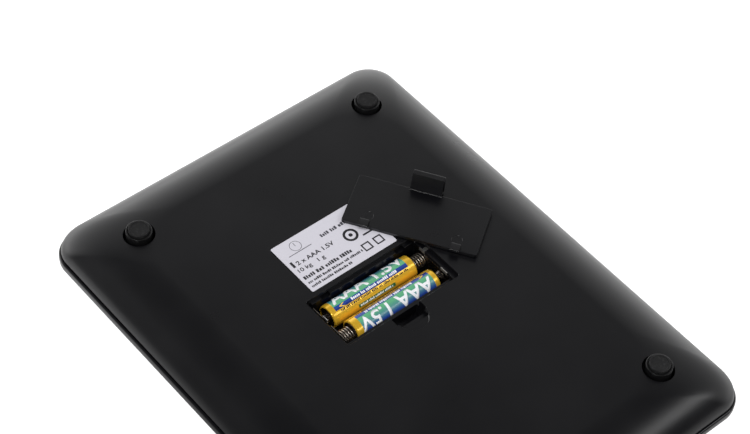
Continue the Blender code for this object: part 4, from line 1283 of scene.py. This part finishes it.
# ---------------------------------------------------------------- glass and the inside
def inside():
    """Gives each hidden CAD node a finish of its own."""
    black = plain_plastic("black_carrier_plastic", tint("inner"), 0.5)
    white = plain_plastic("white_nylon", rgba("#dcdcd8"), 0.5)
    steel = plated("zinc_plated_steel", rgba("#c4c6ca"), 0.35)
    gold = plated("gold_flashed_wire", rgba("#d8b46a"), 0.25)
    grey = plain_plastic("grey_pvc", rgba("#8a8c90"), 0.35)
    finishes = {
        "bonding_tape": closed_foam(),
        "display_mask": ink("screen_print", rgba("#101010")),
        "main_board": circuit_board(),
        "lcd_panel": plain_plastic("polariser_film", rgba("#5b6258"), 0.15),
        "backlight": white,
        "lcd_holder": black,
        "controller_chip": plain_plastic("chip_epoxy", rgba("#161616"), 0.6),
        "lead_socket": white,
        "touch_spring_left": gold,
        "touch_spring_right": gold,
        "battery_lead_positive": plain_plastic("red_pvc", rgba("#b01818"), 0.35),
        "battery_lead_negative": plain_plastic("black_pvc", rgba("#151515"), 0.35),
    }
    for k in range(4):
        finishes[f"board_screw_{k + 1}"] = steel
    for corner in CORNERS:
        finishes[f"load_cell_{corner}"] = steel
        finishes[f"cell_carrier_{corner}"] = black
        finishes[f"cell_lead_{corner}"] = grey
    for node, finish in finishes.items():
        for place in frame["nodes"][node].material_slots:
            place.material = finish


def glass():
    """The weighing glass, with polished round edges."""
    low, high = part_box("weighing_glass")
    half = (high.x, high.y)
    radius = shape().rim_radius + 1 * MM
    edge = 0.8 * MM
    turns = [k / 4 * pi / 2 for k in range(5)]
    lower = [(edge * (1 - sin(a)), low.z + edge * (1 - cos(a))) for a in turns]
    upper = [(edge * (1 - cos(a)), high.z - edge * (1 - sin(a))) for a in turns]
    levels = [(less(half, inset), radius - inset, z) for inset, z in lower + upper]
    sheet = object_from("glass_platform", loft(levels, 20), glass_finish(), 40)
    settle(sheet, "casing", "tempered_glass", "weighing_glass")


# ---------------------------------------------------------------- stage
def camera():
    v = view()
    target = Vector(v.target)
    flat = cos(v.elevation)
    ray = Vector((flat * cos(v.bearing), flat * sin(v.bearing), sin(v.elevation)))
    lens = bpy.data.cameras.new("camera")
    lens.lens = v.focal
    lens.sensor_width = 36
    holder = add_object("camera", lens)
    turn = (-ray).to_track_quat("-Z", "Y").to_matrix() @ Matrix.Rotation(v.roll, 3, "Z")
    holder.matrix_world = Matrix.Translation(target + ray * v.distance) @ turn.to_4x4()
    bpy.context.scene.camera = holder


def softbox(name, at, size, watts):
    """A soft area lamp that shines at the middle of the object."""
    lamp = bpy.data.lights.new(name, "AREA")
    lamp.shape = "RECTANGLE"
    lamp.size, lamp.size_y = size
    lamp.energy = watts
    holder = add_object(name, lamp)
    holder.location = at
    holder.rotation_euler = (-Vector(at)).to_track_quat("-Z", "Y").to_euler()
    return holder


def studio_world():
    """White for the camera; reflections see a bright sweep behind the object and a dark room in front."""
    world = bpy.data.worlds.new("studio")
    bpy.context.scene.world = world
    world.use_nodes = True
    world.node_tree.nodes.clear()
    add = partial(put, world.node_tree)
    path = add("LightPath", {}).outputs
    x, y, z = add("SeparateXYZ", {"Vector": add("TexCoord", {}).outputs["Generated"]}).outputs
    most = max(level for _, level in SKY_LEVELS)
    sweep = add("ValToRGB", {"Fac": z})
    fill_ramp(sweep, [(height, (*[level / most] * 3, 1.0)) for height, level in SKY_LEVELS])
    rearward = add("Math", {0: y, 1: x}, operation="SUBTRACT")
    lean = add("Math", {0: rearward, 1: 0.3, 2: 1.0}, operation="MULTIPLY_ADD")
    farther = add("Math", {0: y, 1: x}, operation="ADD")
    fade = {"Value": farther, "From Min": -0.3, "From Max": 0.5, "To Min": 0.05}
    behind = add("MapRange", fade, interpolation_type="SMOOTHSTEP")
    strength = sweep
    for share in (lean, behind, most):
        strength = add("Math", {0: strength, 1: share}, operation="MULTIPLY")
    white = (1, 1, 1, 1)
    reflected = add("Background", {"Strength": strength, "Color": white})
    shown = add("Background", {"Strength": 1.0, "Color": white})
    soft = add("Background", {"Strength": 0.45, "Color": white})
    indirect = add("MixShader", {0: path["Is Glossy Ray"], 1: soft, 2: reflected})
    seen = add("MixShader", {0: path["Is Camera Ray"], 1: indirect, 2: shown})
    add("OutputWorld", {"Surface": seen})


def floor():
    """A pale seamless floor: white to the camera, with the shadow kept, and dark in front to reflections."""
    bm = bmesh.new()
    under = Matrix.Translation((0, 0, -0.3 * MM))
    bmesh.ops.create_grid(bm, x_segments=1, y_segments=1, size=6.0, matrix=under)
    finish, add, shader, where = start_material("pale_paper", tint("floor"), 0.9)
    path = add("LightPath", {}).outputs
    seen = path["Is Camera Ray"]
    for ray in ("Is Glossy Ray", "Is Transmission Ray"):
        seen = add("Math", {0: seen, 1: path[ray]}, operation="MAXIMUM")
    glow = add("Emission", {"Strength": add("Math", {0: seen, 1: 0.6}, operation="MULTIPLY")})
    both = add("AddShader", {0: shader, 1: glow})
    x, y, _ = add("SeparateXYZ", {"Vector": where}).outputs
    fade = {"Value": add("Math", {0: x, 1: y}, operation="ADD"), "From Min": -0.12, "From Max": 0.08}
    front = add("MapRange", {**fade, "To Min": 0.9, "To Max": 0.0})
    dark_part = add("Math", {0: front, 1: path["Is Glossy Ray"]}, operation="MULTIPLY")
    shaded = add("MixShader", {0: dark_part, 1: both, 2: add("Emission", {"Strength": 0.03})})
    # the sheet shows only from above, so the glass face can be seen from below
    from_below = add("NewGeometry", {}).outputs["Backfacing"]
    sheet = add("MixShader", {0: from_below, 1: shaded, 2: add("BsdfTransparent", {})})
    wire(finish.node_tree.nodes["Material Output"], {"Surface": sheet})
    object_from("studio_floor", bm, finish)


def stage():
    bpy.context.scene.view_settings.view_transform = "Standard"
    studio_world()
    floor()
    # the broad lamp only lights; the other two also draw highlights on film and plated metal
    softbox("overhead", (-0.35, -0.2, 1.2), (0.9, 0.9), 7.0).visible_glossy = False
    softbox("strip", (0.55, -0.7, 0.85), (0.8, 0.25), 2.0)
    softbox("sparkle", (-0.9, -0.35, 0.75), (0.25, 0.25), 3.0)


# ---------------------------------------------------------------- operators
class SCALE_OT_stage(bpy.types.Operator):
    """Set up the camera, the floor, the lamps and the world"""

    bl_idname = "scale.stage"
    bl_label = "Stage"

    def execute(self, context):
        camera()
        stage()
        return {"FINISHED"}


class SCALE_OT_casing(bpy.types.Operator):
    """Build the casing with its battery bay and openings"""

    bl_idname = "scale.casing"
    bl_label = "Casing"

    def execute(self, context):
        casing()
        return {"FINISHED"}


class SCALE_OT_cover(bpy.types.Operator):
    """Build the loose battery cover and its latch"""

    bl_idname = "scale.cover"
    bl_label = "Battery Cover"

    def execute(self, context):
        cover()
        return {"FINISHED"}


class SCALE_OT_feet(bpy.types.Operator):
    """Build the four load-cell feet"""

    bl_idname = "scale.feet"
    bl_label = "Feet"

    def execute(self, context):
        feet()
        return {"FINISHED"}


class SCALE_OT_label(bpy.types.Operator):
    """Build the rating label and its generic print"""

    bl_idname = "scale.label"
    bl_label = "Label"

    def execute(self, context):
        label()
        return {"FINISHED"}


class SCALE_OT_batteries(bpy.types.Operator):
    """Build the two cells with their printed sleeves"""

    bl_idname = "scale.batteries"
    bl_label = "Batteries"

    def execute(self, context):
        batteries()
        return {"FINISHED"}


class SCALE_OT_contacts(bpy.types.Operator):
    """Build the battery contacts and coils"""

    bl_idname = "scale.contacts"
    bl_label = "Contacts"

    def execute(self, context):
        contacts()
        return {"FINISHED"}


class SCALE_OT_glass(bpy.types.Operator):
    """Build the weighing glass"""

    bl_idname = "scale.glass"
    bl_label = "Glass"

    def execute(self, context):
        glass()
        return {"FINISHED"}


class SCALE_OT_inside(bpy.types.Operator):
    """Give the pieces inside the casing their finishes"""

    bl_idname = "scale.inside"
    bl_label = "Inside"

    def execute(self, context):
        inside()
        return {"FINISHED"}


OPERATORS = (
    SCALE_OT_stage, SCALE_OT_casing, SCALE_OT_cover, SCALE_OT_feet, SCALE_OT_label,
    SCALE_OT_batteries, SCALE_OT_contacts, SCALE_OT_glass, SCALE_OT_inside,
)


class SCALE_PT_panel(bpy.types.Panel):
    """The scale's settings and building steps"""

    bl_idname = "SCALE_PT_panel"
    bl_label = "Upturned Scale"
    bl_space_type = "VIEW_3D"
    bl_region_type = "UI"
    bl_category = "Scale"

    def draw(self, context):
        for name in SETTINGS:
            group = getattr(context.scene, name)
            box = self.layout.box()
            for key in type(group).__annotations__:
                box.prop(group, key)
        for step in OPERATORS:
            self.layout.operator(step.bl_idname)


def register():
    for group in SETTINGS.values():
        bpy.utils.register_class(group)
    for name, group in SETTINGS.items():
        setattr(bpy.types.Scene, name, PointerProperty(type=group))
    for step in OPERATORS:
        bpy.utils.register_class(step)
    bpy.utils.register_class(SCALE_PT_panel)


def unregister():
    bpy.utils.unregister_class(SCALE_PT_panel)
    for step in reversed(OPERATORS):
        bpy.utils.unregister_class(step)
    for name, group in reversed(SETTINGS.items()):
        delattr(bpy.types.Scene, name)
        bpy.utils.unregister_class(group)


def main():
    register()
    for step in OPERATORS:
        call = getattr(bpy.ops.scale, step.bl_idname.split(".")[1])
        call()


if __name__ == "__main__":
    main()
